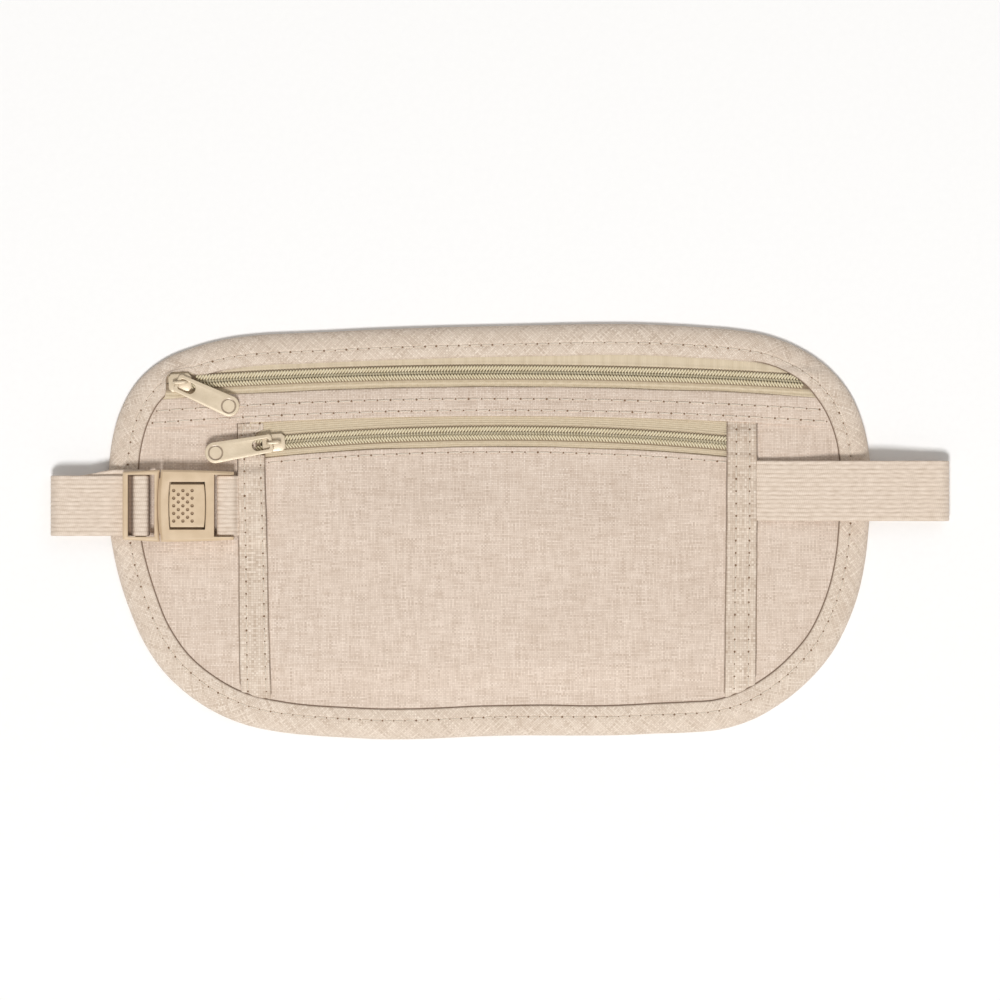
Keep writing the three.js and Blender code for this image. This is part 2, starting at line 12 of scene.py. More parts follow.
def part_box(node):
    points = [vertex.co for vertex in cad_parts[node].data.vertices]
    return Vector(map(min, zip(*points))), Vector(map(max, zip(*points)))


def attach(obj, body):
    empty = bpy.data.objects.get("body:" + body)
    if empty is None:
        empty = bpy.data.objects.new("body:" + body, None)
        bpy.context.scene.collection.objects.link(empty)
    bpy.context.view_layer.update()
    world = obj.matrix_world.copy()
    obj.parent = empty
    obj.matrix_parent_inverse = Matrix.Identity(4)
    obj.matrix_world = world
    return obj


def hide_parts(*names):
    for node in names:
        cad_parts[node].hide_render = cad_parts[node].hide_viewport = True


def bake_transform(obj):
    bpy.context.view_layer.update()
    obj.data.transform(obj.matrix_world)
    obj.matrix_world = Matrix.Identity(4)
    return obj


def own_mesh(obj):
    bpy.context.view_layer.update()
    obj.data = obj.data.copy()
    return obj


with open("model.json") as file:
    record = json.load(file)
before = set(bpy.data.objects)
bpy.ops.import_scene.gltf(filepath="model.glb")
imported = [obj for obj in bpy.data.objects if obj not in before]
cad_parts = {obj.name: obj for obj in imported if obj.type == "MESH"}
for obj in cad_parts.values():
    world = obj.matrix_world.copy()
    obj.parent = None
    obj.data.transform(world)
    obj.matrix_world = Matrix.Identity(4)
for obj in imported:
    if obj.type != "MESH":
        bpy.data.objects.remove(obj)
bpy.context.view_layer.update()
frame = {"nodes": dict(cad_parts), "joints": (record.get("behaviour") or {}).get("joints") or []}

MM = 0.001
rng = np.random.default_rng(7)

# -------- sizes

CAMERA_DISTANCE = 2500
PICTURE_WIDTH = 381.6
PICTURE_CENTRE = (0.0, 12.1)
SENSOR_WIDTH = 36

RIM_Z = 3.0
FINE_POINTS = 1600
OUTLINE_POINTS = 650
BINDING_WIDTH = 11.5
BINDING_STITCH = 7.3
BINDING_TOP_Z = 6.1
BINDING_EDGE_POINTS = 4
BINDING_FRONT_POINTS = 34
CLOTH = 0.45
HEM_RADIUS = 0.42
SEAM_Z = 5.35
UNDER_CHAIN_Z = 5.95

POCKET_HEM = 5.2
POCKET_ROW = 2.1
BAND_TOP, BAND_BOTTOM = 5.6, 16.8
BAND_ROWS = (BAND_TOP + 4.6, BAND_BOTTOM - 2.2)

WEBBING_WIDTH = 23
WEBBING_THICKNESS = 0.95
RIBS = 14
RIB_PITCH = WEBBING_WIDTH / RIBS
RIB_DEPTH = 0.11
SELVEDGE_HALF = 0.2

COIL_PITCH = 1.15
COIL_WIRE = 0.31
COIL_OUTER = 2.6
SLIT_HALF = 0.6
TUBE_SIDES = 6

# -------- the frame and plain numbers


def box_mm(node):
    low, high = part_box(node)
    return np.array(low) / MM, np.array(high) / MM


def middle_mm(node):
    return sum(box_mm(node)) / 2


def joint(name):
    return next(j for j in frame["joints"] if j["name"] == name)


def pivot_mm(name):
    """The point that a hinge turns about."""
    return np.array(joint(name)["pos_m"]) / MM


def ramp(value, start, end):
    """0 at start, 1 at end, with a smooth rise between them."""
    share = np.clip((value - start) / (end - start), 0, 1)
    return share * share * (3 - 2 * share)


def between(value, start, end, shoulder):
    """1 from start to end, falling to 0 over a shoulder outside them."""
    return ramp(value, start - shoulder, start) * ramp(value, end + shoulder, end)


def bell(distance, width):
    """1 on a line, falling to 0 beside it."""
    return np.exp(-((distance / width) ** 2))


def ripple(x, y, size, wavelength, seed):
    """Gentle unevenness of lying cloth."""
    x, y = np.broadcast_arrays(x, y)
    places = zip(x.ravel() / wavelength, y.ravel() / wavelength)
    return size * np.array([noise.noise(Vector((a, b, seed))) for a, b in places]).reshape(x.shape)


def waver_along(along, size, wavelength, row):
    """Unevenness along one line, from its own row of the noise."""
    return ripple(along, row * wavelength, size, wavelength, 0)


# -------- lines


def run_along(line):
    """How far along the line each of its points is."""
    return np.concatenate([[0], np.cumsum(np.linalg.norm(np.diff(line, axis=0), axis=1))])


def resampled(points, count, closed=False):
    """count points, evenly spaced along a line."""
    line = np.vstack([points, points[:1]]) if closed else points
    along = run_along(line)
    at = np.linspace(0, along[-1], count + closed)[:count]
    return np.stack([np.interp(at, along, line[:, k]) for k in range(line.shape[1])], axis=1)


def tangents(points, closed=False):
    if closed:
        step = np.roll(points, -1, axis=0) - np.roll(points, 1, axis=0)
    else:
        step = np.gradient(points, axis=0)
    return step / np.linalg.norm(step, axis=1, keepdims=True)


def left_of(direction):
    """Directions turned a quarter turn to the left."""
    return np.stack([-direction[:, 1], direction[:, 0]], axis=1)


def spline(p0, p1, p2, p3, part):
    """The Catmull-Rom curve from p1 to p2."""
    return 0.5 * (2 * p1 + (p2 - p0) * part + (2 * p0 - 5 * p1 + 4 * p2 - p3) * part**2
                  + (3 * p1 - p0 - 3 * p2 + p3) * part**3)


def smooth_line(knots):
    """A smooth open line through its knots."""
    ends = np.vstack([2 * knots[0] - knots[1], knots, 2 * knots[-1] - knots[-2]])
    part = (np.arange(8) / 8)[:, None]
    spans = [spline(*four, part) for four in zip(ends, ends[1:], ends[2:], ends[3:])]
    return np.vstack([*spans, knots[-1:]])


def rounded(points, radius, step):
    """A line through corner points in a plane, with its corners rounded, in steps."""
    points = [np.array(p, float) for p in points]
    out = [points[0]]
    for before, corner, after in zip(points, points[1:], points[2:]):
        a, b = before - corner, after - corner
        length_a, length_b = np.linalg.norm(a), np.linalg.norm(b)
        reach = min(radius, length_a * 0.49, length_b * 0.49)
        start, end = corner + a / length_a * reach, corner + b / length_b * reach
        for t in np.linspace(0, 1, 7):
            out.append((1 - t) ** 2 * start + 2 * t * (1 - t) * corner + t * t * end)
    line = np.array([*out, points[-1]])
    return resampled(line, max(8, round(run_along(line)[-1] / step)))


def thinned(path):
    """Fewer points where an (x, z) path runs straight."""
    turned = np.abs(np.diff(tangents(path), axis=0)).sum(1)
    bend = np.convolve(np.concatenate([turned, [0]]) > 0.004, np.ones(5), mode="same") > 0
    keep = bend | (np.arange(len(path)) % 5 == 0)
    keep[[0, -1]] = True
    return path[keep]


def arc(x, y, radius, start, end, steps=14):
    angles = np.radians(np.linspace(start, end, steps + 1))
    return [(x + radius * math.cos(a), y + radius * math.sin(a)) for a in angles]


def bow(start, end, bulge):
    """Points from start to end along a shallow parabola that swells by bulge to the right-hand side."""
    start, end = np.array(start, float), np.array(end, float)
    across = end - start
    normal = np.array([across[1], -across[0]]) / np.linalg.norm(across)
    return [tuple(start + across * t + normal * bulge * 4 * t * (1 - t))
            for t in np.linspace(0, 1, 11)]


def columns(low, high, step):
    return np.linspace(low, high, max(4, round((high - low) / step) + 1))


def there_and_back(values):
    return np.concatenate([values, values[::-1]])


# -------- pouch outline


def outline_of_binding():
    """The pouch's outer edge, counterclockwise, from the vertical rim of the binding's solid."""
    points = np.array([v.co for v in frame["nodes"]["edge_binding"].data.vertices]) / MM
    rim = np.unique(np.round(points[np.abs(points[:, 2] - RIM_Z) < 0.01][:, :2], 3), axis=0)
    rim = rim[np.argsort(np.arctan2(rim[:, 1], rim[:, 0]))]
    at = np.arange(FINE_POINTS) / FINE_POINTS * len(rim)
    index, part = at.astype(int), (at % 1)[:, None]
    four = (rim[(index + k) % len(rim)] for k in (-1, 0, 1, 2))
    return resampled(spline(*four, part), OUTLINE_POINTS, closed=True)


OUTLINE = outline_of_binding()
OUTLINE_INWARD = left_of(tangents(OUTLINE, closed=True))


def inset_curve(inset):
    return OUTLINE + OUTLINE_INWARD * inset


def edge_distance(x, y):
    """How far each point is inside the pouch's outer edge."""
    x, y = np.broadcast_arrays(np.asarray(x, float), np.asarray(y, float))
    points = np.stack([x.ravel(), y.ravel()], axis=1)
    found = [
        np.sqrt(((chunk[:, None] - OUTLINE[None]) ** 2).sum(2).min(1))
        for chunk in np.array_split(points, max(1, len(points) // 3000))
    ]
    return np.concatenate(found).reshape(x.shape)


def outline_sides(xs, inset):
    """The lowest and highest y of the inset outline at each x."""
    curve = inset_curve(inset)
    curve = np.roll(curve, -curve[:, 0].argmax(), axis=0)
    left = curve[:, 0].argmin()
    lower, upper = np.vstack([curve[left:], curve[:1]]), curve[left::-1]
    return [np.interp(xs, side[:, 0], side[:, 1]) for side in (lower, upper)]


# -------- zipper chains


class Chain:
    """A zipper's centre line: an arc about the point that its slider turns about."""

    def __init__(self, name):
        self.name = name
        self.centre = pivot_mm(f"{name}_slider_run")[:2]
        self.radius = box_mm(f"{name}_coil_top")[1][1] - COIL_OUTER - self.centre[1]
        self.z = middle_mm(f"{name}_zipper_tape_top")[2]

    def y(self, x):
        return self.centre[1] + np.sqrt(self.radius**2 - (np.asarray(x, float) - self.centre[0]) ** 2)

    def above(self, x, y):
        """How far a point is above the chain."""
        return np.hypot(x - self.centre[0], y - self.centre[1]) - self.radius

    def points(self, start, end, offset=0, step=1.0):
        """(x, y) points beside the chain, from x = start to x = end."""
        angles = [math.asin((x - self.centre[0]) / self.radius) for x in (start, end)]
        angle = np.linspace(*angles, max(2, round(abs(end - start) / step) + 1))
        return self.centre + (self.radius + offset) * np.stack([np.sin(angle), np.cos(angle)], axis=1)


UPPER = Chain("upper")
LOWER = Chain("lower")
UPPER_SLIDER_LOW, UPPER_SLIDER_HIGH = box_mm("upper_slider_body")
UPPER_SLIDER_HALF = (UPPER_SLIDER_HIGH - UPPER_SLIDER_LOW)[:2] / 2
LOWER_SLIDER_Y = middle_mm("lower_slider_body")[1]


def slider_stops():
    """Where the upper slider's middle is at each end of its run."""
    start = middle_mm("upper_slider_body")[:2]
    angle = math.radians(max(joint("upper_slider_run")["range_deg"]))
    turn = np.array([[math.cos(angle), math.sin(angle)], [-math.sin(angle), math.cos(angle)]])
    return start, UPPER.centre + turn @ (start - UPPER.centre)


SLIDER_STOPS = slider_stops()


def near_slider(x, y):
    """1 beside the upper slider's two stops, falling to 0 a little way off."""
    return sum(between(np.abs(x - stop[0]), -1, 5.5, 2.5) * between(np.abs(y - stop[1]), -1, 4.5, 2.5)
               for stop in SLIDER_STOPS)


# -------- heights of the cloth

LEFT_TAPE_LOW, LEFT_TAPE_HIGH = box_mm("left_seam_tape")
RIGHT_TAPE_LOW, RIGHT_TAPE_HIGH = box_mm("right_seam_tape")
POCKET_LEFT = LEFT_TAPE_HIGH[0] - 3
POCKET_RIGHT = RIGHT_TAPE_LOW[0] + 3
TAB_LOW, TAB_HIGH = box_mm("strap_tab")
RIGHT_STRAP_LOW, RIGHT_STRAP_HIGH = box_mm("strap_right_run")
TAIL_LOW, TAIL_HIGH = box_mm("strap_tail")


def settle(z, inset):
    """Cloth comes down to the seam under the binding, and on down with the binding's slope."""
    inside = SEAM_Z + (z - SEAM_Z) * ramp(inset, 10, 28)
    return inside - 0.36 * np.clip(10 - inset, 0, None)


def main_height(x, y):
    lens = 7.5 - 1.9 * ramp(y, 8, 46) + ripple(x, y, 0.5, 38, 1.3) + ripple(x, y, 0.16, 12, 4.1)
    under_chain = ramp(np.abs(LOWER.above(x, y)), 9, 5) * between(x, -92, 92, 3)
    return settle(lens - np.maximum(lens - UNDER_CHAIN_Z, 0) * under_chain, edge_distance(x, y))


def pocket_height(x, y):
    inset = edge_distance(x, y)
    below_hem = LOWER.y(x) - POCKET_HEM - y
    swell = (ramp(x, POCKET_LEFT + 4, POCKET_LEFT + 50) * ramp(x, POCKET_RIGHT - 4, POCKET_RIGHT - 50)
             * ramp(inset, 12, 48) * ramp(below_hem, 0, 34))
    lens = 8.4 + 2.9 * swell + ripple(x, y, 0.45, 34, 2.7) + ripple(x, y, 0.15, 11, 8.8)
    return settle(lens, inset) - 0.15 * bell(below_hem - POCKET_ROW, 1.2)


def band_height(x, y):
    below = -UPPER.above(x, y)
    across = np.clip((below - BAND_TOP) / (BAND_BOTTOM - BAND_TOP), 0, 1)
    over_pocket = 1.95 * between(x, LEFT_TAPE_LOW[0] + 8, POCKET_RIGHT + 2, 12)
    lens = 6.6 + over_pocket * across + 0.28 * np.sin(math.pi * across) + ripple(x, y, 0.18, 14, 5.2)
    rows = sum(bell(below - row, 1.2) for row in BAND_ROWS)
    return settle(lens, edge_distance(x, y) * 1.4 - 5) - 0.18 * rows


class SeamTape:
    """The tape sewn over the front pocket's side. It leans, and it is a little wider at its top."""

    def __init__(self, side):
        low, high = box_mm(f"{side}_seam_tape")
        self.side = side
        self.top, self.foot = high[1] + 1.6, low[1] - 5
        if side == "left":
            self.foot_sides, self.top_sides = (low[0] + 1.1, high[0]), (low[0], low[0] + 9.8)
            self.outer, self.inner, self.rows = low[0], high[0], (0.24, 0.86)
            self.over, self.rise = (TAB_LOW[1], TAB_HIGH[1]), 2.1
        else:
            self.foot_sides, self.top_sides = (low[0], high[0] - 0.5), (high[0] - 11.1, high[0])
            self.outer, self.inner, self.rows = high[0], low[0], (0.3, 0.76)
            self.over, self.rise = (RIGHT_STRAP_LOW[1], RIGHT_STRAP_HIGH[1]), 1.0

    def sides(self, y):
        share = (y - self.foot) / (self.top - self.foot)
        waver = ripple(y, 0, 0.3, 14, 3.3)
        left, right = (foot + (top - foot) * share + waver
                       for foot, top in zip(self.foot_sides, self.top_sides))
        if self.side == "left":
            right = right - 3.2 * between(y, LOWER_SLIDER_Y - 3.6, LOWER_SLIDER_Y + 3.6, 1.2)
        return left, right

    def height(self, x, y):
        left, right = self.sides(y)
        lens = 8.2 + 1.1 * ramp(x, self.outer, self.inner) + ripple(x, y, 0.2, 16, 9.4)
        lens = lens + self.rise * between(y, self.over[0] - 0.5, self.over[1] + 0.5, 3.5)
        lens = lens - 1.5 * ramp(y, self.top - 8.5, self.top - 1)
        if self.side == "right":
            lens = lens + 0.7 * between(y, 29, 38, 3)
        valleys = sum(bell(x - left - row * (right - left), 1.1) for row in self.rows)
        inset = edge_distance(x, y)
        return settle(lens, inset * 1.4 - 5) + 0.45 * ramp(inset, 10.5, 13) - 0.3 * valleys


def binding_lift(x, y):
    """How high the straps under the pouch's edge hold it up."""
    right = 0.95 * between(y, RIGHT_STRAP_LOW[1], RIGHT_STRAP_HIGH[1], 7) * ramp(x, 60, 90)
    left = 2.3 * between(y, TAIL_LOW[1], TAIL_HIGH[1], 7) * ramp(x, -60, -90)
    return right + left


def chain_bump(x, y):
    """How much the end of the upper chain lifts the binding that covers it."""
    over_chain = between(np.abs(UPPER.above(x, y)), -1, 2.9, 3.5)
    return 1.5 * over_chain * ramp(x, 98, 108) * ramp(x, 126, 120) * ramp(y, 40, 48)


def binding_profile(lift):
    """(inset, z) of the binding's outer face, from its front edge round the fold to its back edge."""
    back = 0.12 + lift
    edge = [(BINDING_WIDTH + 0.42, 5.5), (BINDING_WIDTH + 0.06, 5.6), (BINDING_WIDTH, 5.82),
            (BINDING_WIDTH - 0.22, 6.05)]
    knots = np.array([
        (BINDING_WIDTH - 0.6, BINDING_TOP_Z), (8.4, BINDING_TOP_Z), (5.6, BINDING_TOP_Z - 0.35),
        (2.8, BINDING_TOP_Z - 1.2 + 0.4 * lift), (0.9, 3.5 + 0.7 * lift), (0.1, 1.9 + 0.9 * lift),
        (0.25, 0.75 + lift), (1.4, back), (4.5, back), (BINDING_WIDTH, back),
    ])
    face = resampled(smooth_line(knots), 64)
    front = face[:BINDING_FRONT_POINTS - BINDING_EDGE_POINTS]
    front[:, 1] -= 0.3 * bell(front[:, 0] - BINDING_STITCH, 0.6)
    return np.vstack([edge, face])


def binding_height(x, y):
    """The front face of the binding above a point."""
    front = binding_profile(0)[BINDING_EDGE_POINTS:BINDING_FRONT_POINTS - 8][::-1]
    return np.interp(edge_distance(x, y), front[:, 0], front[:, 1]) + chain_bump(x, y)


# for each stop: gap in mm, then outline points to either side that keep it, that blur it, and how often
BINDING_CLEARANCES = ((0.15, 1, 1, 1), (0.5, 12, 6, 2))


def binding_widths():
    """How far in the binding reaches at each outline point: it stops short of the upper slider."""
    reach = np.linspace(3, BINDING_WIDTH + 0.8, 90)
    spots = OUTLINE[:, None] + OUTLINE_INWARD[:, None] * reach[None, :, None]
    widths = np.full(len(OUTLINE), BINDING_WIDTH)
    for stop, (gap, spread, blur, passes) in zip(SLIDER_STOPS, BINDING_CLEARANCES):
        inside = np.all(np.abs(spots - stop) < UPPER_SLIDER_HALF + gap, axis=2)
        room = np.where(inside.any(1), reach[inside.argmax(1)], BINDING_WIDTH)
        room = np.min([np.roll(room, k) for k in range(-spread, spread + 1)], axis=0)
        for _ in range(passes):
            room = np.mean([np.roll(room, k) for k in range(-blur, blur + 1)], axis=0)
        widths = np.minimum(widths, room)
    return widths


# -------- meshes


def linked(name, data):
    """A new object in the scene."""
    item = bpy.data.objects.new(name, data)
    bpy.context.scene.collection.objects.link(item)
    return item


def smoothed(mesh, sharp):
    """Smooth shading, except at edges sharper than an angle in degrees."""
    mesh.shade_smooth()
    mesh.set_sharp_from_angle(angle=math.radians(sharp))


def evaluated_mesh(item):
    """The mesh that an item's curve or modifiers make."""
    return bpy.data.meshes.new_from_object(item.evaluated_get(bpy.context.evaluated_depsgraph_get()))


def make_mesh(name, vertices, faces, flat=None, sharp=40):
    """An object from points in mm. flat holds one triple for each face corner: the cloth coordinates in mm
    along and across, and how much painted crease shade the corner gets, from 0 to 1."""
    points = np.asarray(vertices, float)
    triangles = np.array([f[:3] for f in faces] + [(f[0], f[2], f[3]) for f in faces if len(f) > 3])
    a, b, c = (points[triangles[:, k]] for k in range(3))
    if np.einsum("ij,ij->i", a, np.cross(b, c)).sum() < 0:
        faces = [f[::-1] for f in faces]
        flat = flat and [f[::-1] for f in flat]
    mesh = bpy.data.meshes.new(name)
    mesh.from_pydata((points * MM).tolist(), [], faces)
    if flat:
        values = np.array([triple for face in flat for triple in face], np.float32)
        mesh.attributes.new("flat", "FLOAT_VECTOR", "CORNER").data.foreach_set("vector", values.ravel())
    smoothed(mesh, sharp)
    return linked(name, mesh)


def loft(name, sections, along, across, closed=False, sharp=60, crease=0):
    """A closed skin over sections, an array of (sections, points, 3). Each section is a loop whose second
    half runs back beside its first half. along and across are cloth coordinates in mm."""
    count, size = sections.shape[:2]
    shade = np.broadcast_to(crease, (count, size))
    faces, flat = [], []
    for i in range(count if closed else count - 1):
        j = (i + 1) % count
        for k in range(size):
            m = (k + 1) % size
            faces.append((i * size + k, i * size + m, j * size + m, j * size + k))
            flat.append(((along[i], across[k], shade[i, k]), (along[i], across[m], shade[i, m]),
                         (along[i + 1], across[m], shade[j, m]), (along[i + 1], across[k], shade[j, k])))
    if not closed:
        for i in (0, count - 1):
            start = i * size
            for k in range(size // 2 - 1):
                face = (start + k, start + k + 1, start + size - 2 - k, start + size - 1 - k)
                triples = tuple((along[i], across[c - start], 0) for c in face)
                faces.append(face if i else face[::-1])
                flat.append(triples if i else triples[::-1])
    return make_mesh(name, sections.reshape(-1, 3), faces, flat, sharp)


def patch(name, xs, low, high, height, step=1.3, hems=(), thickness=CLOTH, crease=None):
    """A sheet of cloth over the plan between low and high at each x. hems names the edges ("low", "high")
    that are folded under, which are thicker and round. crease(x, y) is the painted shade at a point."""
    rows = max(6, round((high - low).max() / step))
    share = np.linspace(0, 1, rows + 1)[1:-1]
    low, high = low[:, None], high[:, None]
    hem = HEM_RADIUS * np.array([0, 0.13, 0.5, 1])
    by_low = hem if "low" in hems else hem[:1]
    by_high = hem[::-1] if "high" in hems else hem[:1]
    y = np.hstack([low + by_low, low + (high - low) * share, high - by_high])
    x = np.repeat(xs[:, None], y.shape[1], axis=1)
    reach = np.full(y.shape[1], HEM_RADIUS)
    if "low" in hems:
        reach[:len(hem)] = by_low
    if "high" in hems:
        reach[-len(hem):] = by_high
    drop = HEM_RADIUS - np.sqrt(np.maximum(HEM_RADIUS**2 - (HEM_RADIUS - reach) ** 2, 0))
    z = height(x, y)
    top = np.dstack([x, y, z - drop])
    hem_low = 1 - ramp(y - low, 1, 9) if "low" in hems else 0
    hem_high = 1 - ramp(high - y, 1, 9) if "high" in hems else 0
    thick = thickness + (2 * HEM_RADIUS - thickness) * np.maximum(hem_low, hem_high)
    under = z - thick + np.minimum(drop, 2 * HEM_RADIUS - 0.02 - drop)
    bottom = np.dstack([x, y, np.minimum(under, top[..., 2] - 0.02)])
    sections = np.concatenate([top, bottom[:, ::-1]], axis=1)
    shade = crease(sections[..., 0], sections[..., 1]) if crease else 0
    return loft(name, sections, xs, there_and_back(y[0]), crease=shade)


def ribbon(name, path, y_centre, waver=0.12, seed=0, crease=0):
    """Ribbed webbing that follows (x, z) points, with its middle at y_centre. y_centre and crease, its
    painted shade, are a number or one for each point."""
    along = run_along(path)
    normal = left_of(tangents(path))
    across = np.linspace(0, WEBBING_WIDTH, RIBS * 4 + 1)
    rib = np.abs(np.sin(math.pi * across / RIB_PITCH))
    half = WEBBING_THICKNESS / 2 - RIB_DEPTH * (1 - rib**0.7)
    half[[0, -1]] = SELVEDGE_HALF
    reach = np.concatenate([half, -half[::-1]])
    across = there_and_back(across)
    x, z = (path[:, k, None] + normal[:, k, None] * reach for k in (0, 1))
    middle = y_centre + waver_along(along, waver, 17, seed)
    y = middle[:, None] + across - WEBBING_WIDTH / 2
    return loft(name, np.dstack([x, y, z]), along, across, sharp=75, crease=np.reshape(crease, (-1, 1)))


def sweep(name, lines, radii, axis=(1, 0, 0)):
    """Closed round tubes along lines, an array of (tubes, points, 3). radii is a number or one for each
    point."""
    tubes, count = lines.shape[:2]
    direction = np.gradient(lines, axis=1)
    direction /= np.linalg.norm(direction, axis=2, keepdims=True)
    first = np.cross(direction, axis)
    first /= np.linalg.norm(first, axis=2, keepdims=True)
    second = np.cross(direction, first)
    angle = np.arange(TUBE_SIDES)[:, None] / TUBE_SIDES * 2 * math.pi
    spokes = first[:, :, None] * np.cos(angle) + second[:, :, None] * np.sin(angle)
    rings = lines[:, :, None] + np.reshape(radii, (-1, 1, 1)) * spokes
    faces = []
    for tube in range(tubes):
        base = tube * count * TUBE_SIDES
        for ring in range(base, base + (count - 1) * TUBE_SIDES, TUBE_SIDES):
            for k in range(TUBE_SIDES):
                a, b = ring + k, ring + (k + 1) % TUBE_SIDES
                faces.append((a, b, b + TUBE_SIDES, a + TUBE_SIDES))
        faces.append(tuple(range(base, base + TUBE_SIDES))[::-1])
        faces.append(tuple(range(base + (count - 1) * TUBE_SIDES, base + count * TUBE_SIDES)))
    return make_mesh(name, rings.reshape(-1, 3), faces, sharp=80)


def joined(name, items):
    """One object from several, each with its own material slots kept."""
    bpy.ops.object.select_all(action="DESELECT")
    for item in items:
        item.select_set(True)
    bpy.context.view_layer.objects.active = items[0]
    bpy.ops.object.join()
    items[0].name = items[0].data.name = name
    return items[0]


# -------- materials


class Nodes:
    """A material and short ways to add nodes to it."""

    def __init__(self, name, roughness, **settings):
        self.material = bpy.data.materials.new(name)
        self.material.use_nodes = True
        self.tree = self.material.node_tree
        self.tree.nodes.clear()
        inputs = {key.replace("_", " "): value for key, value in settings.items()}
        self.shader = self.add("BsdfPrincipled", {"Roughness": roughness, **inputs})
        self.add("OutputMaterial", {"Surface": self.shader.outputs[0]})

    def put(self, socket, value):
        if isinstance(value, bpy.types.NodeSocket):
            self.tree.links.new(value, socket)
        else:
            socket.default_value = value

    def add(self, kind, inputs=None, **settings):
        node = self.tree.nodes.new("ShaderNode" + kind)
        for key, value in settings.items():
            setattr(node, key, value)
        for key, value in (inputs or {}).items():
            self.put(node.inputs[key], value)
        return node

    def math(self, operation, *values):
        return self.add("Math", dict(enumerate(values)), operation=operation).outputs[0]

    def times(self, a, b):
        return self.math("MULTIPLY", a, b)

    def weighted(self, *terms, start=0):
        """The sum of start and (value, weight) terms."""
        for value, weight in terms:
            start = self.math("MULTIPLY_ADD", value, weight, start)
        return start

    def place(self):
        """The point on the surface, in mm."""
        point = self.add("TexCoord").outputs["Object"]
        return self.add("VectorMath", {0: point, "Scale": 1 / MM}, operation="SCALE").outputs[0]

    def cloth(self):
        """The cloth's own coordinates in mm, along and across, and its painted crease shade."""
        return self.add("Attribute", attribute_name="flat").outputs["Vector"]

    def stretched(self, vector, scale, shift=(0, 0, 0)):
        return self.add("Mapping", {"Vector": vector, "Scale": scale, "Location": shift}).outputs[0]

    def noise(self, vector, detail=2, scale=1, roughness=0.5):
        inputs = {"Vector": vector, "Scale": scale, "Detail": detail, "Roughness": roughness}
        return self.add("TexNoise", inputs).outputs["Fac"]

    def patches(self, vector, spread=0.2, **settings):
        """Noise from 0 to 1 that reaches both ends."""
        noise_value = self.noise(vector, **settings)
        return self.add("MapRange", {0: noise_value, 1: 0.5 - spread, 2: 0.5 + spread}).outputs[0]

    def combined(self, *values):
        return self.add("CombineXYZ", dict(enumerate(values))).outputs[0]

    def split(self, vector):
        return self.add("SeparateXYZ", {0: vector}).outputs[:]

    def wave(self, value, pitch):
        """0 to 1, once every pitch."""
        turned = self.math("SINE", self.times(value, 2 * math.pi / pitch))
        return self.weighted((turned, 0.5), start=0.5)

    def mix(self, share, a, b):
        return self.add("Mix", {0: share, 6: a, 7: b}, data_type="RGBA").outputs[2]

    def finish(self, colour, height, depth_mm, **more):
        bump = self.add("Bump", {"Height": height, "Distance": depth_mm * MM, "Strength": 1.0})
        for key, value in {"Base Color": colour, "Normal": bump.outputs[0], **more}.items():
            self.put(self.shader.inputs[key], value)
        return self.material


def colour(r, g, b):
    """Linear colour from 0 to 255 display values."""
    def linear(value):
        value /= 255
        return value / 12.92 if value <= 0.04045 else ((value + 0.055) / 1.055) ** 2.4
    return (linear(r), linear(g), linear(b), 1)


# painted shade: the brown that the crease shade weight darkens a colour towards
PAINTED_SHADE_BROWN = colour(112, 84, 62)


def shaded(n, share, dark, light):
    """A colour between dark and light, with painted shade: browner by the crease shade weight, which
    stands in for the shade in creases, grooves and under edges.
    """
    crease = n.times(n.split(n.cloth())[2], 0.85)
    return n.mix(crease, n.mix(share, dark, light), PAINTED_SHADE_BROWN)


def threads(n, along, across, pitch, seed):
    """(tone, body, number) of the threads that run one way: each has its own thick and thin stretches."""
    wander = n.noise(n.combined(n.times(along, 0.06), n.times(across, 0.3), seed))
    at = n.math("DIVIDE", n.weighted((wander, 0.9), start=across), pitch)
    row = n.math("FLOOR", at)
    spot = n.combined(n.times(along, 0.1), n.times(row, 7.31), seed + 3)
    body = n.math("ABSOLUTE", n.math("SINE", n.times(at, math.pi)))
    return n.patches(spot, detail=3, roughness=0.6), body, row


def weave(name, dark, light, grain, pitch, seed):
    """A plain weave of slubby threads both ways. grain gives the two directions from the nodes."""
    n = Nodes(name, 0.92, Sheen_Weight=0.12, Sheen_Roughness=0.6)
    x, y = grain(n)
    weft, weft_body, weft_row = threads(n, x, y, pitch, seed)
    warp, warp_body, warp_row = threads(n, y, x, pitch, seed + 11)
    over = n.times(n.math("FRACT", n.times(n.math("ADD", weft_row, warp_row), 0.5)), 2)
    tones = n.weighted((over, n.math("SUBTRACT", weft, warp)), start=warp)
    bodies = n.math("SQRT", n.times(weft_body, warp_body))
    patches = n.patches(n.stretched(n.place(), (0.025, 0.03, 0.03), (3, seed, 0)))
    share = n.weighted((tones, 0.85), (bodies, 0.34), (patches, 0.08), start=-0.13)
    height = n.weighted((tones, 0.5), (bodies, 0.7))
    return n.finish(shaded(n, share, dark, light), height, 0.13)


def straight_grain(n):
    return n.split(n.place())[:2]


def bias_grain(n):
    """Cut at 45 degrees to its threads."""
    along, across, _ = n.split(n.cloth())
    return [n.times(n.math(way, along, across), math.sqrt(0.5)) for way in ("ADD", "SUBTRACT")]


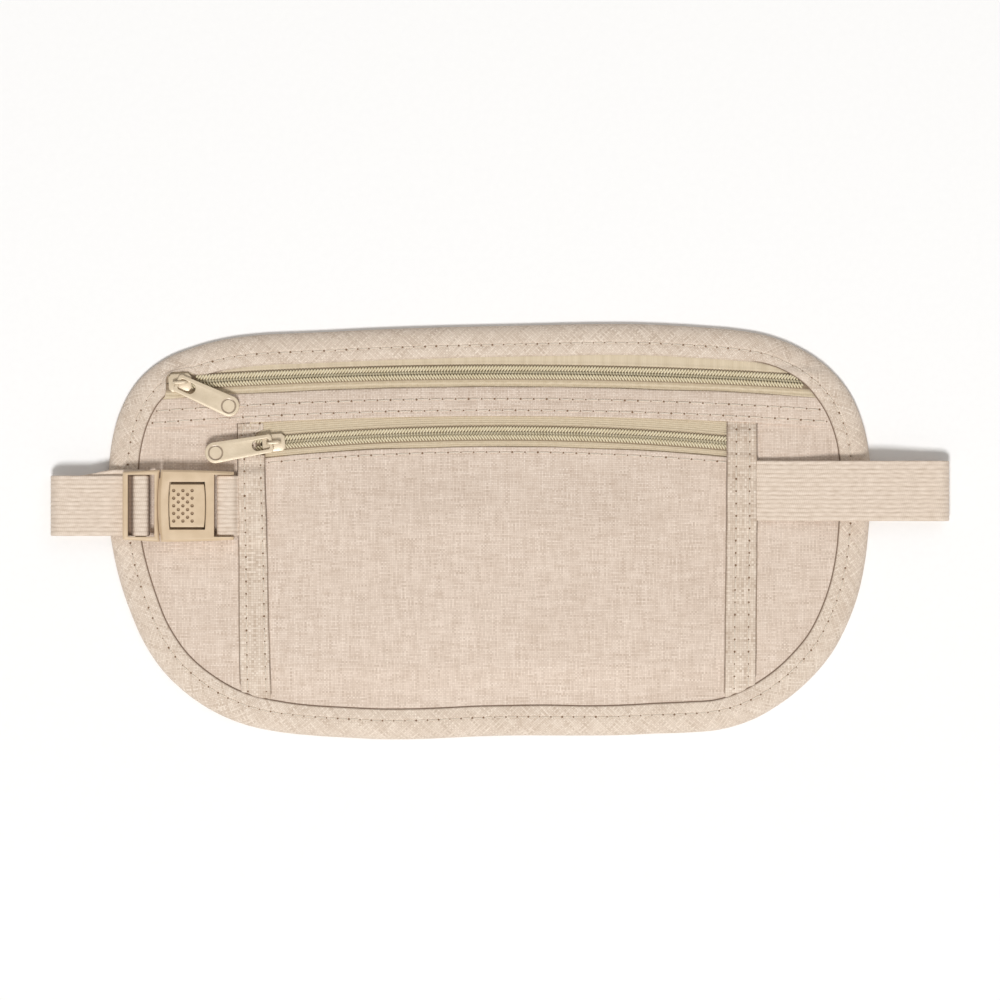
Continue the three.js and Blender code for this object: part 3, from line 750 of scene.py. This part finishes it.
def ribbed_webbing(name, dark, light):
    """Narrow elastic webbing: lengthwise ribs crossed by fine weft ticks."""
    n = Nodes(name, 0.8, Sheen_Weight=0.15, Sheen_Roughness=0.5)
    along, across, _ = n.split(n.cloth())
    ridge = n.math("ABSOLUTE", n.math("SINE", n.times(across, math.pi / RIB_PITCH)))
    row = n.math("FLOOR", n.math("DIVIDE", across, RIB_PITCH))
    tick = n.wave(n.weighted((row, 0.37), start=along), 0.75)
    grain = n.patches(n.stretched(n.cloth(), (0.25, 1, 1)), detail=3, scale=1.2)
    share = n.weighted((n.math("POWER", ridge, 0.5), 0.45), (tick, 0.14), (grain, 0.4))
    return n.finish(shaded(n, share, dark, light), n.weighted((grain, 0.5), start=tick), 0.06)


def zipper_cloth(name, dark, light):
    """Fine knitted zipper tape, ribbed along its length."""
    n = Nodes(name, 0.88, Sheen_Weight=0.1, Sheen_Roughness=0.6)
    along, across, _ = n.split(n.cloth())
    rows, stitches = n.wave(across, 0.86), n.wave(along, 0.7)
    grain = n.patches(n.stretched(n.cloth(), (0.5, 1.6, 1)), detail=3)
    share = n.weighted((grain, 0.4), (rows, 0.42), (stitches, 0.12))
    return n.finish(shaded(n, share, dark, light), n.weighted((stitches, 0.4), start=rows), 0.1)


def moulded(name, dark, light, roughness, grain_mm, depth_mm, **settings):
    """Plastic or painted metal: faint mottling, fine grain, and an uneven gloss."""
    n = Nodes(name, roughness, **settings)
    spot = n.place()
    mottle = n.patches(spot, spread=0.25, detail=3, scale=0.22)
    grain = n.noise(spot, detail=3, scale=1 / grain_mm)
    gloss = n.weighted((n.noise(spot, scale=0.5), 0.22), start=roughness - 0.11)
    share = n.weighted((mottle, 0.65), (grain, 0.35))
    return n.finish(shaded(n, share, dark, light), grain, depth_mm, Roughness=gloss)


def twisted_thread(name, dark, light):
    """Sewing thread with its twist."""
    n = Nodes(name, 0.6, Sheen_Weight=0.2)
    x, y, z = n.split(n.place())
    twist = n.wave(n.math("ADD", n.math("ADD", x, y), z), 0.42)
    return n.finish(n.mix(twist, dark, light), twist, 0.04)


def speckled(name, dark, light, roughness, grain_mm):
    """Fine grain between two colours."""
    n = Nodes(name, roughness)
    grain = n.noise(n.place(), scale=1 / grain_mm)
    return n.finish(n.mix(grain, dark, light), grain, 0.02)


MAIN = weave("main_fabric", colour(197, 175, 156), colour(242, 225, 210), straight_grain, 0.68, 0.0)
LINING = weave("lining_fabric", colour(176, 158, 139), colour(216, 201, 186), straight_grain, 0.7, 4.5)
SEAM = weave("seam_tape_fabric", colour(188, 166, 145), colour(241, 226, 210), straight_grain, 0.9, 2.5)
BINDING = weave("binding_tape", colour(196, 175, 155), colour(243, 228, 212), bias_grain, 0.72, 7.5)
WEBBING = ribbed_webbing("webbing", colour(188, 166, 144), colour(243, 227, 211))
TAPE = zipper_cloth("zipper_tape", colour(190, 172, 142), colour(228, 212, 186))
COIL = moulded("zipper_coil", colour(220, 206, 172), colour(240, 229, 200), 0.4, 0.6, 0.02)
HARDWARE = moulded("zipper_hardware", colour(209, 191, 163), colour(228, 211, 185), 0.36, 0.5, 0.03,
                   Metallic=0.15, Coat_Weight=0.25, Coat_Roughness=0.25)
PLASTIC = moulded("buckle_plastic", colour(204, 179, 146), colour(224, 200, 169), 0.42, 0.35, 0.035)
THREAD = twisted_thread("thread", colour(206, 188, 166), colour(246, 235, 221))
# painted shade: the dark brown of the lenses that stand for the shade in needle holes
HOLE_SHADE = speckled("needle_holes", colour(104, 78, 56), colour(150, 121, 96), 0.95, 1 / 3)


def dress(item, material, body="pouch", nodes=()):
    """Gives a piece its material and slot, the body it rides on and the CAD nodes it stands for."""
    item.data.materials.clear()
    item.data.materials.append(material)
    if body is not None:
        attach(item, body)
    if nodes:
        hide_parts(*nodes)


# -------- stitches


def stitch_row(name, line, height, pitch, hidden=None):
    """Lock stitches along (x, y) points on the cloth at height(x, y), with a dark lens of painted shade for a
    needle hole between them.
    hidden(x, y) is true where a part of the row is covered."""
    gap, radius, fineness = 0.8, 0.27, 24
    length = run_along(line)[-1]
    count = max(1, round(length / pitch))
    pitch = length / count
    fine = resampled(line, count * fineness + 1)
    shares = np.array([0.5 * gap, 0.9 * gap, pitch / 2, pitch - 0.9 * gap, pitch - 0.5 * gap]) / pitch
    at = (np.arange(count)[:, None] + shares) * fineness
    xy = np.stack([np.interp(at, np.arange(len(fine)), fine[:, k]) for k in (0, 1)], axis=2)
    xy[..., 1] += rng.normal(0, 0.05, (count, 1))
    spots = fine[::fineness]
    if hidden is not None:
        xy = xy[~hidden(xy[:, 2, 0], xy[:, 2, 1])]
        spots = spots[~hidden(spots[:, 0], spots[:, 1])]
    z = height(xy[..., 0], xy[..., 1]) + 0.07 + radius * np.array([-0.9, 0.15, 0.55, 0.15, -0.9])
    stitches = sweep(name, np.dstack([xy, z]), radius * np.array([0.5, 0.9, 1, 0.9, 0.5]), axis=(0, 0, 1))
    stitches.data.materials.append(THREAD)
    holes = needle_holes(name + "_holes", spots, height)
    holes.data.materials.append(HOLE_SHADE)
    row = joined(name, [stitches, holes])
    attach(row, "pouch")


def needle_holes(name, spots, height):
    """Painted shade of needle holes: small dark lenses, each thin, on the cloth."""
    sides = 8
    z = height(spots[:, 0], spots[:, 1]) + 0.14
    angle = np.arange(sides) / sides * 2 * math.pi
    size = 0.24 + 0.2 * rng.random(len(spots))
    wheel = np.stack([np.cos(angle), np.sin(angle)], axis=1)
    ring = np.dstack([spots[:, None] + size[:, None, None] * wheel, np.repeat(z[:, None], sides, axis=1)])
    poles = [np.column_stack([spots, z + rise])[:, None] for rise in (0.04, -0.2)]
    vertices = np.concatenate([ring, *poles], axis=1).reshape(-1, 3)
    faces = []
    for base in range(0, len(vertices), sides + 2):
        for k in range(sides):
            a, b = base + k, base + (k + 1) % sides
            faces += [(a, b, base + sides), (b, a, base + sides + 1)]
    return make_mesh(name, vertices, faces)


# -------- pouch pieces


def make_binding():
    along = run_along(np.vstack([OUTLINE, OUTLINE[:1]]))
    waver = waver_along(along[:-1], 0.35, 21, 3.3)
    straight = 5
    is_edge = slice(BINDING_EDGE_POINTS)
    sections = []
    for point, inward, wave, width in zip(OUTLINE, OUTLINE_INWARD, waver, binding_widths()):
        outer = binding_profile(float(binding_lift(*point)))
        inset = outer[:, 0]
        squeeze = (width - straight) / (BINDING_WIDTH - straight)
        front = (np.arange(len(outer)) < BINDING_FRONT_POINTS) & (inset > straight)
        squeezed = np.where(front, straight + (inset - straight) * squeeze, inset)
        outer[:, 0] = squeezed + wave * squeeze**4 * ramp(inset, 8, BINDING_WIDTH)
        within = outer + CLOTH * left_of(tangents(outer))
        within[is_edge] = outer[BINDING_EDGE_POINTS] + [0.25, -CLOTH - 0.05]
        within[is_edge, 1] -= np.array([0.06, 0.04, 0.02, 0])
        loop = there_and_back(outer)
        loop[len(outer):] = within[::-1]
        sections.append(np.column_stack([point + inward * loop[:, :1], loop[:, 1]]))
    sections = np.array(sections)
    for front in (slice(BINDING_FRONT_POINTS), slice(-BINDING_FRONT_POINTS, None)):
        part = sections[:, front]
        part[..., 2] += chain_bump(part[..., 0], part[..., 1])
    # painted shade: the rows of the binding's turned-under inner edge are browned as a dark line where it
    # meets the cloth, much less above the upper zipper
    crease = np.zeros(sections.shape[:2])
    x, y = OUTLINE.T
    above_zipper = ramp(UPPER.above(x, y), 2, 8) * between(x, -105, 95, 10)
    crease[:, is_edge] = np.array([1, 1, 0.6, 0.15]) * (1 - 0.85 * above_zipper[:, None])
    width = run_along(binding_profile(0))
    binding = loft("binding", sections, along, there_and_back(width), closed=True, crease=crease)
    dress(binding, BINDING, nodes=["edge_binding"])
    stitches = inset_curve(BINDING_STITCH)
    stitch_row("binding_stitches", np.vstack([stitches, stitches[:1]]), binding_height, 4.3,
               hidden=lambda x, y: near_slider(x, y) > 0.3)


def lay_cloth(name, xs, low, high, height, material, node, rests_on="main_cloth", **settings):
    """A patch that stands for a CAD node."""
    item = patch(name, xs, low, high, height, **settings)
    dress(item, material, nodes=[node])


def columns_inside(inset, margin, step):
    """x of the columns that fill the inset outline, less a margin at each end."""
    x = inset_curve(inset)[:, 0]
    return columns(x.min() + margin, x.max() - margin, step)


def make_back():
    xs = columns_inside(8.5, 1.5, 2)

    def height(x, y):
        inside = 1.25 + 1.75 * ramp(edge_distance(x, y), 10, 26)
        return np.maximum(inside, binding_lift(x, y) + 1.3) + ripple(x, y, 0.25, 30, 6.1)

    lay_cloth("back_cloth", xs, *outline_sides(xs, 8.5), height, LINING, "back_panel", "waist_strap",
              step=2.2)


def make_main():
    xs = columns_inside(6.5, 1, 1.3)
    low, high = outline_sides(xs, 6.5)
    high = np.minimum(high, UPPER.y(xs) - 14)
    lay_cloth("main_cloth", xs, low, high, main_height, MAIN, "main_panel", "back_cloth")


def make_pocket():
    xs = columns(POCKET_LEFT - 4, POCKET_RIGHT + 4, 1.2)
    low, _ = outline_sides(xs, 7.5)
    high = LOWER.y(xs) - POCKET_HEM + ripple(xs, 0, 0.3, 20, 7.7)
    lay_cloth("pocket_cloth", xs, low, high, pocket_height, MAIN, "front_pocket_panel", hems=("high",))
    row = LOWER.points(POCKET_LEFT + 1.5, POCKET_RIGHT - 0.5, -POCKET_HEM - POCKET_ROW)
    stitch_row("pocket_hem_stitches", row, pocket_height, 4.9)


def make_band():
    xs = columns_inside(8, 4, 1.2)
    _, top = outline_sides(xs, 8)
    high = np.minimum(UPPER.y(xs) - BAND_TOP + ripple(xs, 0, 0.35, 24, 1.9), top)
    low = np.minimum(UPPER.y(xs) - BAND_BOTTOM, high - 0.4)
    lay_cloth("band_cloth", xs, low, high, band_height, MAIN, "zipper_band", step=0.9,
              hems=("low", "high"))
    for name, offset in zip(("upper", "lower"), BAND_ROWS):
        line = UPPER.points(xs[0], xs[-1], -offset)
        line = line[edge_distance(line[:, 0], line[:, 1]) > BINDING_WIDTH + 1]
        stitch_row(f"band_{name}_stitches", line, band_height, 5)


def make_seam_tape(side):
    shape = SeamTape(side)
    rows = np.linspace(shape.foot, shape.top, 100)
    left, right = shape.sides(rows)
    edge = np.array([-0.4, -0.03, 0.05, 0.3])
    edge_drop = np.array([0.66, 0.58, 0.28, 0.05])
    share = np.linspace(0.08, 0.92, 21)
    x = np.hstack([left[:, None] + edge, left[:, None] + (right - left)[:, None] * share,
                   right[:, None] - edge[::-1]])
    y = np.repeat(rows[:, None], x.shape[1], axis=1)
    level = shape.height(x, y)
    face = np.dstack([x, y, level - np.concatenate([edge_drop, share * 0, edge_drop[::-1]])])
    # both edges come down to the cloth, except where webbing or the zipper leaves from under them
    low, high = shape.over
    outer = (main_height, 1 - between(rows, low - 0.4, high + 0.4, 1.2))
    inner = (pocket_height, ramp(LOWER.y(x[:, 2]) - POCKET_HEM - rows, 0.5, 2.5))
    edges = (outer, inner) if side == "left" else (inner, outer)
    for (cloth, free), edge_columns in zip(edges, ((0, 1), (-1, -2))):
        for column, full in zip(edge_columns, (1, 0.75)):
            z = face[:, column, 2]
            gap = np.maximum(z - cloth(x[:, column], y[:, column]) - 0.12, 0)
            face[:, column, 2] = z - gap * free * full
    under = np.dstack([x, y, np.minimum(face[..., 2] - 0.04, level - 0.76)])
    # painted shade along both edges of the tape, where they come down to the cloth
    crease = np.concatenate([[0.8, 0.72, 0.32, 0], share * 0, [0, 0.32, 0.72, 0.8]])
    tape = loft(f"seam_tape_{side}", np.concatenate([face, under[:, ::-1]], axis=1), rows,
                there_and_back(x[0] - x[0, 0]), crease=there_and_back(crease))
    dress(tape, SEAM, nodes=[f"{side}_seam_tape"])
    keep = rows > shape.foot + 7
    for number, part in enumerate(shape.rows):
        line = np.column_stack([left + (right - left) * part, rows])[keep]
        stitch_row(f"seam_tape_{side}_stitches_{number + 1}", line, shape.height, 4.7)


# -------- zippers

TAPE_REACH = {("upper", "top"): 13, ("upper", "bottom"): 9.3, ("lower", "top"): 9.2, ("lower", "bottom"): 7.2}


def make_zipper_tape(chain, side):
    """One side of a zipper's tape, with a low cord beside the coil."""
    node = f"{chain.name}_zipper_tape_{side}"
    start = box_mm(f"{chain.name}_zipper_tape_bottom" if chain is UPPER else node)[0][0]
    xs = columns(start + 0.2, box_mm(node)[1][0] - 0.2, 1.5)
    middle, sign = chain.y(xs), 1 if side == "top" else -1
    slider = middle_mm(f"{chain.name}_slider_body")[0]
    near = middle + sign * (SLIT_HALF * ramp(xs, slider - 5, slider - 3) + 0.02)
    far = middle + sign * TAPE_REACH[chain.name, side]
    if chain is UPPER:
        _, top = outline_sides(xs, 6)
        far = np.minimum(far, top if side == "top" else top - 0.5)
        near = np.minimum(near, top) if side == "bottom" else near
    low, high = (near, far) if side == "top" else (far, near)

    def height(x, y):
        away = np.abs(chain.above(x, y))
        level = chain.z + 0.2 + 0.22 * bell(away - 3.5, 0.45)
        level += ripple(x, y, 0.12, 9, 5.5) * ramp(away, 3, 6)
        inset = edge_distance(x, y)
        tucked = 0.45 * ramp(inset, 20, 12) + 0.36 * np.clip(11 - inset, 0, None)
        return level - tucked * (1 - near_slider(x, y))

    # painted shade: the tape under the coil and right at its outer edge is browned
    def crease(x, y):
        return 0.75 * ramp(np.abs(chain.above(x, y)), 3.15, 2.75)

    lay_cloth(f"{chain.name}_tape_{side}", xs, low, np.maximum(high, low + 0.3), height, TAPE, node,
              step=0.42, thickness=0.38, crease=crease)


def make_coil(chain, side):
    """A coil of nylon wire, flattened and wound along one side of the chain."""
    node = f"{chain.name}_coil_{side}"
    low, high = box_mm(node)
    end = high[0] + (5.5 if chain is UPPER and side == "top" else 0)
    turns = int((end - low[0]) / COIL_PITCH)
    steps = 12
    angle = 2 * math.pi * np.arange(turns * steps + 1) / steps
    middle = resampled(chain.points(low[0] + 0.3, end - 0.3, step=0.2), len(angle))
    direction = tangents(middle)
    outward = left_of(direction) * (1 if side == "top" else -1)
    half_width = (COIL_OUTER - SLIT_HALF) / 2 - COIL_WIRE + 0.12
    half_height = (high[2] - low[2]) / 2 - COIL_WIRE + 0.05
    away = (COIL_OUTER + SLIT_HALF) / 2 - 0.06 + half_width * np.sin(angle)
    z = (low[2] + high[2]) / 2 + half_height * np.cos(angle)
    lean = 0.3 * np.sin(angle)[:, None] * direction
    line = np.column_stack([middle + outward * away[:, None] + lean, z])
    coil = sweep(f"{chain.name}_coil_row_{side}", line[None], COIL_WIRE)
    dress(coil, COIL, nodes=[node])


def make_chain_heads(chain):
    """Where the two coils mesh. They part as the slider opens the zipper, so they sink out of the slit."""
    low, high = box_mm(f"{chain.name}_coil_top")
    start = max(low[0], box_mm(f"{chain.name}_slider_body")[1][0] - 1)
    end = box_mm(f"{chain.name}_coil_bottom")[1][0]
    line = chain.points(start, end - 0.3, step=COIL_PITCH / 2)
    side = np.where(np.arange(len(line)) % 2, 1.0, -1.0)[:, None]
    outward = left_of(tangents(line)) * side
    reach = np.array([-0.45, -0.3, 0.3, 0.95])
    xy = line[:, None] + outward[:, None] * reach[:, None]
    z = np.broadcast_to(high[2] - 0.85 + np.array([-0.12, 0, 0.02, 0]), xy.shape[:2])
    heads = sweep(f"{chain.name}_chain_heads", np.dstack([xy, z]), [0.12, 0.19, 0.19, 0.16],
                  axis=(0, 0, 1))
    dress(heads, COIL)
    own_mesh(heads)


# -------- strap

LEFT_LOW, LEFT_HIGH = box_mm("strap_left_run")
LEFT_Y = (LEFT_LOW[1] + LEFT_HIGH[1]) / 2
RIGHT_Y = (RIGHT_STRAP_LOW[1] + RIGHT_STRAP_HIGH[1]) / 2
UNDER_Z = 0.5
LEFT_FRONT_Z = 9.9
TAIL_FRONT_Z = 8.65
RIGHT_FRONT_Z = RIGHT_STRAP_HIGH[2] - 0.5
LEFT_RADIUS = (LEFT_FRONT_Z - UNDER_Z) / 2
LEFT_TURN = LEFT_LOW[0] + 0.5 + LEFT_RADIUS
WRAP_TOP_Z = LEFT_HIGH[2] - 0.5
WRAP_LEFT = box_mm("buckle_insert")[0][0] + 3.8
WRAP_RIGHT = WRAP_LEFT + 6
TURN_STEPS = 36


def lay_webbing(name, path, y_centre, nodes, rests_on, body="buckle_insert", **settings):
    """A ribbon of webbing that stands for CAD nodes."""
    item = ribbon(name, path, y_centre, **settings)
    dress(item, WEBBING, body=body, nodes=nodes)
    return item


def make_strap():
    """The waist strap in one ribbon: sewn at the right, folded, run behind the pouch to the buckle's bar."""
    radius = (RIGHT_FRONT_Z - UNDER_Z) / 2
    turn = RIGHT_STRAP_HIGH[0] - 0.5 - radius
    start = RIGHT_TAPE_HIGH[0] - 5
    corners = [
        (start, RIGHT_FRONT_Z),
        *arc(turn, UNDER_Z + radius, radius, 90, -90, TURN_STEPS),
        *arc(LEFT_TURN, UNDER_Z + LEFT_RADIUS, LEFT_RADIUS, 270, 90, TURN_STEPS),
        (WRAP_LEFT - 3, LEFT_FRONT_Z), (WRAP_LEFT, LEFT_FRONT_Z + 0.6),
        (WRAP_LEFT + 0.2, WRAP_TOP_Z - 0.7), (WRAP_LEFT + 1.5, WRAP_TOP_Z + 0.05),
        (WRAP_RIGHT - 1.5, WRAP_TOP_Z + 0.05), (WRAP_RIGHT - 0.2, WRAP_TOP_Z - 0.7),
        (WRAP_RIGHT, TAIL_FRONT_Z + 1.7),
    ]
    path = thinned(rounded(corners, 1.2, step=0.5))
    x, z = path.T
    # the front of the right loop bows up over the pouch's edge
    bowed = (x > start) & (z > RIGHT_FRONT_Z - 0.1)
    z += 2.3 * bowed * ramp(x, start, start + 44) * ramp(x, turn + 0.5, start + 50)
    # the run behind the pouch crosses from the right strap's line to the left one
    under = z < UNDER_Z + 0.05
    share = np.where(under, ramp(x, 30, -110), x < 0)
    # painted shade: the wrap's sides, down in the insert's slot, are browned as the shade there
    beside = between(x, WRAP_LEFT - 2.6, WRAP_RIGHT + 1, 0.3) * (z > TAIL_FRONT_Z)
    crease = beside * ramp(z, WRAP_TOP_Z - 0.05, WRAP_TOP_Z - 1)
    strap = lay_webbing("waist_strap", path, RIGHT_Y + (LEFT_Y - RIGHT_Y) * share,
                        ["strap_right_run", "strap_left_run"], "buckle_insert", body=None, seed=1.5,
                        crease=crease)
    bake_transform(strap)


def make_tail():
    """The strap's free end: back under the front run, round the same fold and along behind the pouch."""
    middle_z = UNDER_Z + LEFT_RADIUS
    radius = TAIL_FRONT_Z - middle_z
    corners = [
        (WRAP_RIGHT, TAIL_FRONT_Z + 1.65), (WRAP_RIGHT, TAIL_FRONT_Z + 0.4),
        (WRAP_RIGHT - 1.5, TAIL_FRONT_Z),
        *arc(LEFT_TURN, middle_z, radius, 90, 270, TURN_STEPS),
        (TAIL_HIGH[0], middle_z - radius),
    ]
    path = thinned(rounded(corners, 1.2, step=0.5))
    stray = 2.4 * between(path[:, 0], -146, -139, 16) * (path[:, 1] > middle_z)
    lay_webbing("strap_free_end", path, LEFT_Y + stray, ["strap_tail"], "buckle_insert", seed=6.5)


def make_tab():
    """The short loop of webbing that holds the socket, its two ends sewn under the left seam tape."""
    slot = box_mm("buckle_socket")[1][0] - 6.1
    over = TAB_HIGH[2] - 0.5
    end = TAB_HIGH[0]
    corners = [(end, 9.75), (end - 3.6, 9.75), (end - 5.2, over), (slot, over), (slot, 8.65), (end, 8.65)]
    path = rounded(corners, 1.1, step=0.6)
    lay_webbing("buckle_tab", path, LEFT_Y, ["strap_tab"], "buckle_socket", body="pouch", waver=0, seed=2)


# -------- hardware

SHARP_DEGREES = 38


def welded(name, mesh, change):
    """An object from a mesh whose doubled points are joined and which change then works on."""
    work = bmesh.new()
    work.from_mesh(mesh)
    bmesh.ops.remove_doubles(work, verts=work.verts, dist=1e-6)
    change(work)
    work.to_mesh(mesh)
    work.free()
    return linked(name, mesh)


def copy_of_node(name, node):
    """A new object with a CAD node's shape, its flat faces joined up."""
    source = frame["nodes"][node].data
    mesh = bpy.data.meshes.new(name)
    mesh.from_pydata([v.co[:] for v in source.vertices], [], [p.vertices[:] for p in source.polygons])
    return welded(name, mesh, lambda work: bmesh.ops.dissolve_limit(
        work, angle_limit=math.radians(1), verts=work.verts, edges=work.edges))


def modified(item, kind, sharp=SHARP_DEGREES, **settings):
    """Gives the item the shape that one modifier makes of it."""
    modifier = item.modifiers.new(kind, kind)
    for key, value in settings.items():
        setattr(modifier, key, value)
    mesh = evaluated_mesh(item)
    item.modifiers.clear()
    item.data = mesh
    smoothed(mesh, sharp)


def make_copy(name, node, material, body="pouch", bevel=0.3):
    """A CAD node's shape with small round edges."""
    item = copy_of_node(name, node)
    modified(item, "BEVEL", sharp=32, width=bevel * MM, segments=3, limit_method="ANGLE",
             angle_limit=math.radians(30))
    dress(item, material, body=body, nodes=[node])


def plate(name, loops, low, high, bevel, segments=3):
    """A flat plate with rounded edges from closed (x, y) loops, the first its outline and the rest holes."""
    curve = bpy.data.curves.new(name, "CURVE")
    curve.dimensions = "2D"
    curve.fill_mode = "BOTH"
    curve.extrude = ((high - low) / 2 - bevel) * MM
    curve.bevel_depth = bevel * MM
    curve.bevel_resolution = segments
    curve.offset = -bevel * MM
    for loop in loops:
        spline_curve = curve.splines.new("POLY")
        spline_curve.points.add(len(loop) - 1)
        for point, (x, y) in zip(spline_curve.points, loop):
            point.co = (x * MM, y * MM, 0, 1)
        spline_curve.use_cyclic_u = True
    source = linked(name, curve)
    mesh = evaluated_mesh(source)
    bpy.data.objects.remove(source)

    def raised(work):
        bmesh.ops.recalc_face_normals(work, faces=work.faces)
        bmesh.ops.translate(work, vec=(0, 0, (low + high) / 2 * MM), verts=work.verts)

    item = welded(name, mesh, raised)
    smoothed(mesh, SHARP_DEGREES)
    return item


def cut(item, tool, inside):
    """Takes the tool's shape out of the item, and marks the faces inside it with painted shade, which the
    material browns like a crease."""
    modified(item, "BOOLEAN", operation="DIFFERENCE", solver="EXACT", object=tool)
    bpy.data.objects.remove(tool)
    # painted shade: crease shade 0.7 on every face inside the cut
    marks = item.data.attributes.new("flat", "FLOAT_VECTOR", "CORNER")
    for face in item.data.polygons:
        if inside(*(face.center / MM)):
            for corner in face.loop_indices:
                marks.data[corner].vector = (0, 0, 0.7)


def make_pull(name):
    """A stamped pull: rounded plate with a slot for the crown and a ringed dimple at its wide end."""
    lift = joint(f"{name}_pull_flip")["axis"]
    reach, end_radius, half, bar, top = 21.4, 4.1, 3.5, 0.65, 0.6
    corner, corner_radius = half - 1.3, 1.45
    outline = [*arc(reach, 0, end_radius, -82, 82, 24), (1.4, half),
               *arc(0.9, corner, corner_radius, 100, 175, 5),
               *arc(0.9, -corner, corner_radius, 185, 260, 5), (1.4, -half)]
    slot_half, slot_end = 2.1, 7.3
    slot = [*arc(slot_end - slot_half, 0, slot_half, 90, -90, 16), (bar + 0.6, -slot_half),
            (bar + 0.1, -slot_half + 0.5), (bar + 0.1, slot_half - 0.5), (bar + 0.6, slot_half)]
    pull = plate(f"{name}_pull_tab", [outline, slot], -top, top, 0.24)
    ring_inner, ring_outer, depth = 2.3, 2.95, 0.45
    ring = [arc(reach, 0, ring_outer, 0, 345, 30), arc(reach, 0, ring_inner, 345, 0, 30)]
    groove = plate("groove", ring, top - depth, top + 0.5, 0.05, 1)
    # painted shade in the ring groove
    cut(pull, groove, lambda x, y, z: 0.1 < z < top - 0.1
        and ring_inner - 0.1 < math.dist((x, y), (reach, 0)) < ring_outer + 0.1)
    turn = Matrix.Rotation(math.atan2(lift[0], -lift[1]), 4, "Z")
    pull.data.transform(Matrix.Translation(Vector(pivot_mm(f"{name}_pull_flip") * MM)) @ turn)
    dress(pull, HARDWARE, body=f"{name}_pull", nodes=[f"{name}_pull"])


def make_slider(name):
    make_copy(f"{name}_slider_shell", f"{name}_slider_body", HARDWARE, f"{name}_slider")
    make_copy(f"{name}_slider_bridge", f"{name}_slider_crown", HARDWARE, f"{name}_slider", bevel=0.22)


def make_button():
    """The push button's cap, with bowed sides and rows of grip dimples."""
    low, high = box_mm("push_button")
    middle = (low[1] + high[1]) / 2
    left, right = low[0] + 1.2, high[0] - 1.2
    half, bulge, above = 8.15, 0.45, 0.12
    outline = (bow((left, middle + half), (left, middle - half), bulge)
               + bow((right, middle - half), (right, middle + half), bulge))
    button = plate("button_cap", [outline], low[2], high[2], 0.35)
    pitch_x, pitch_y, dot, depth = 1.75, 2.9, 0.68, 0.85
    dots = [(left + 1.3 + column * pitch_x, middle + (row - (rows - 1) / 2) * pitch_y)
            for column, rows in enumerate((5, 4, 5, 4, 5)) for row in range(rows)]
    pins = []
    for x, y in dots:
        bpy.ops.mesh.primitive_uv_sphere_add(segments=12, ring_count=8, radius=dot * MM,
                                             location=(x * MM, y * MM, (high[2] + above) * MM))
        pins.append(bpy.context.object)
        pins[-1].scale.z = (depth + above) / dot
    # painted shade in the grip dimples
    cut(button, joined("dots", pins),
        lambda x, y, z: z < high[2] - above and any(math.dist((x, y), d) < dot for d in dots))
    dress(button, PLASTIC, body="push_button", nodes=["push_button"])


# -------- stage

SKY, SKY_STRENGTH = (1, 0.97, 0.93, 1), 0.36
LIGHTS = (("key", (-0.25, -2.3, 4.8), 1.1, 196), ("fill", (2.2, 1.7, 4.6), 4, 26))


def make_camera():
    camera = linked("camera", bpy.data.cameras.new("camera"))
    camera.data.sensor_width = SENSOR_WIDTH
    camera.data.lens = SENSOR_WIDTH * CAMERA_DISTANCE / PICTURE_WIDTH
    camera.data.clip_end = 100
    bar_height = (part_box("buckle_socket")[0].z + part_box("main_panel")[1].z) / 2
    camera.location = (*(np.array(PICTURE_CENTRE) * MM), CAMERA_DISTANCE * MM + bar_height)
    bpy.context.scene.camera = camera


def make_stage():
    bpy.ops.mesh.primitive_plane_add(size=60, location=(0, 0, 0))
    floor = bpy.context.object
    floor.name = "floor"
    floor.data.materials.append(
        speckled("floor_paper", (0.95, 0.95, 0.95, 1), (0.98, 0.98, 0.98, 1), 0.9, 2.5))
    world = bpy.data.worlds.new("world")
    bpy.context.scene.world = world
    world.use_nodes = True
    background = world.node_tree.nodes["Background"]
    background.inputs["Color"].default_value = SKY
    background.inputs["Strength"].default_value = SKY_STRENGTH
    for name, place, size, power in LIGHTS:
        light = linked(name, bpy.data.lights.new(name, "AREA"))
        light.data.size = size
        light.data.energy = power
        light.location = place
        light.rotation_euler = (-Vector(place)).to_track_quat("-Z", "Y").to_euler()
    bpy.context.scene.view_settings.view_transform = "Standard"


make_camera()
make_stage()
make_back()
make_main()
make_pocket()
make_band()
make_seam_tape("left")
make_seam_tape("right")
make_binding()
for zipper in (UPPER, LOWER):
    for side in ("top", "bottom"):
        make_zipper_tape(zipper, side)
        make_coil(zipper, side)
    make_chain_heads(zipper)
    make_slider(zipper.name)
    make_pull(zipper.name)
make_strap()
make_tail()
make_tab()
make_copy("socket_shell", "buckle_socket", PLASTIC)
make_copy("insert_frame", "buckle_insert", PLASTIC, "buckle_insert")
make_button()
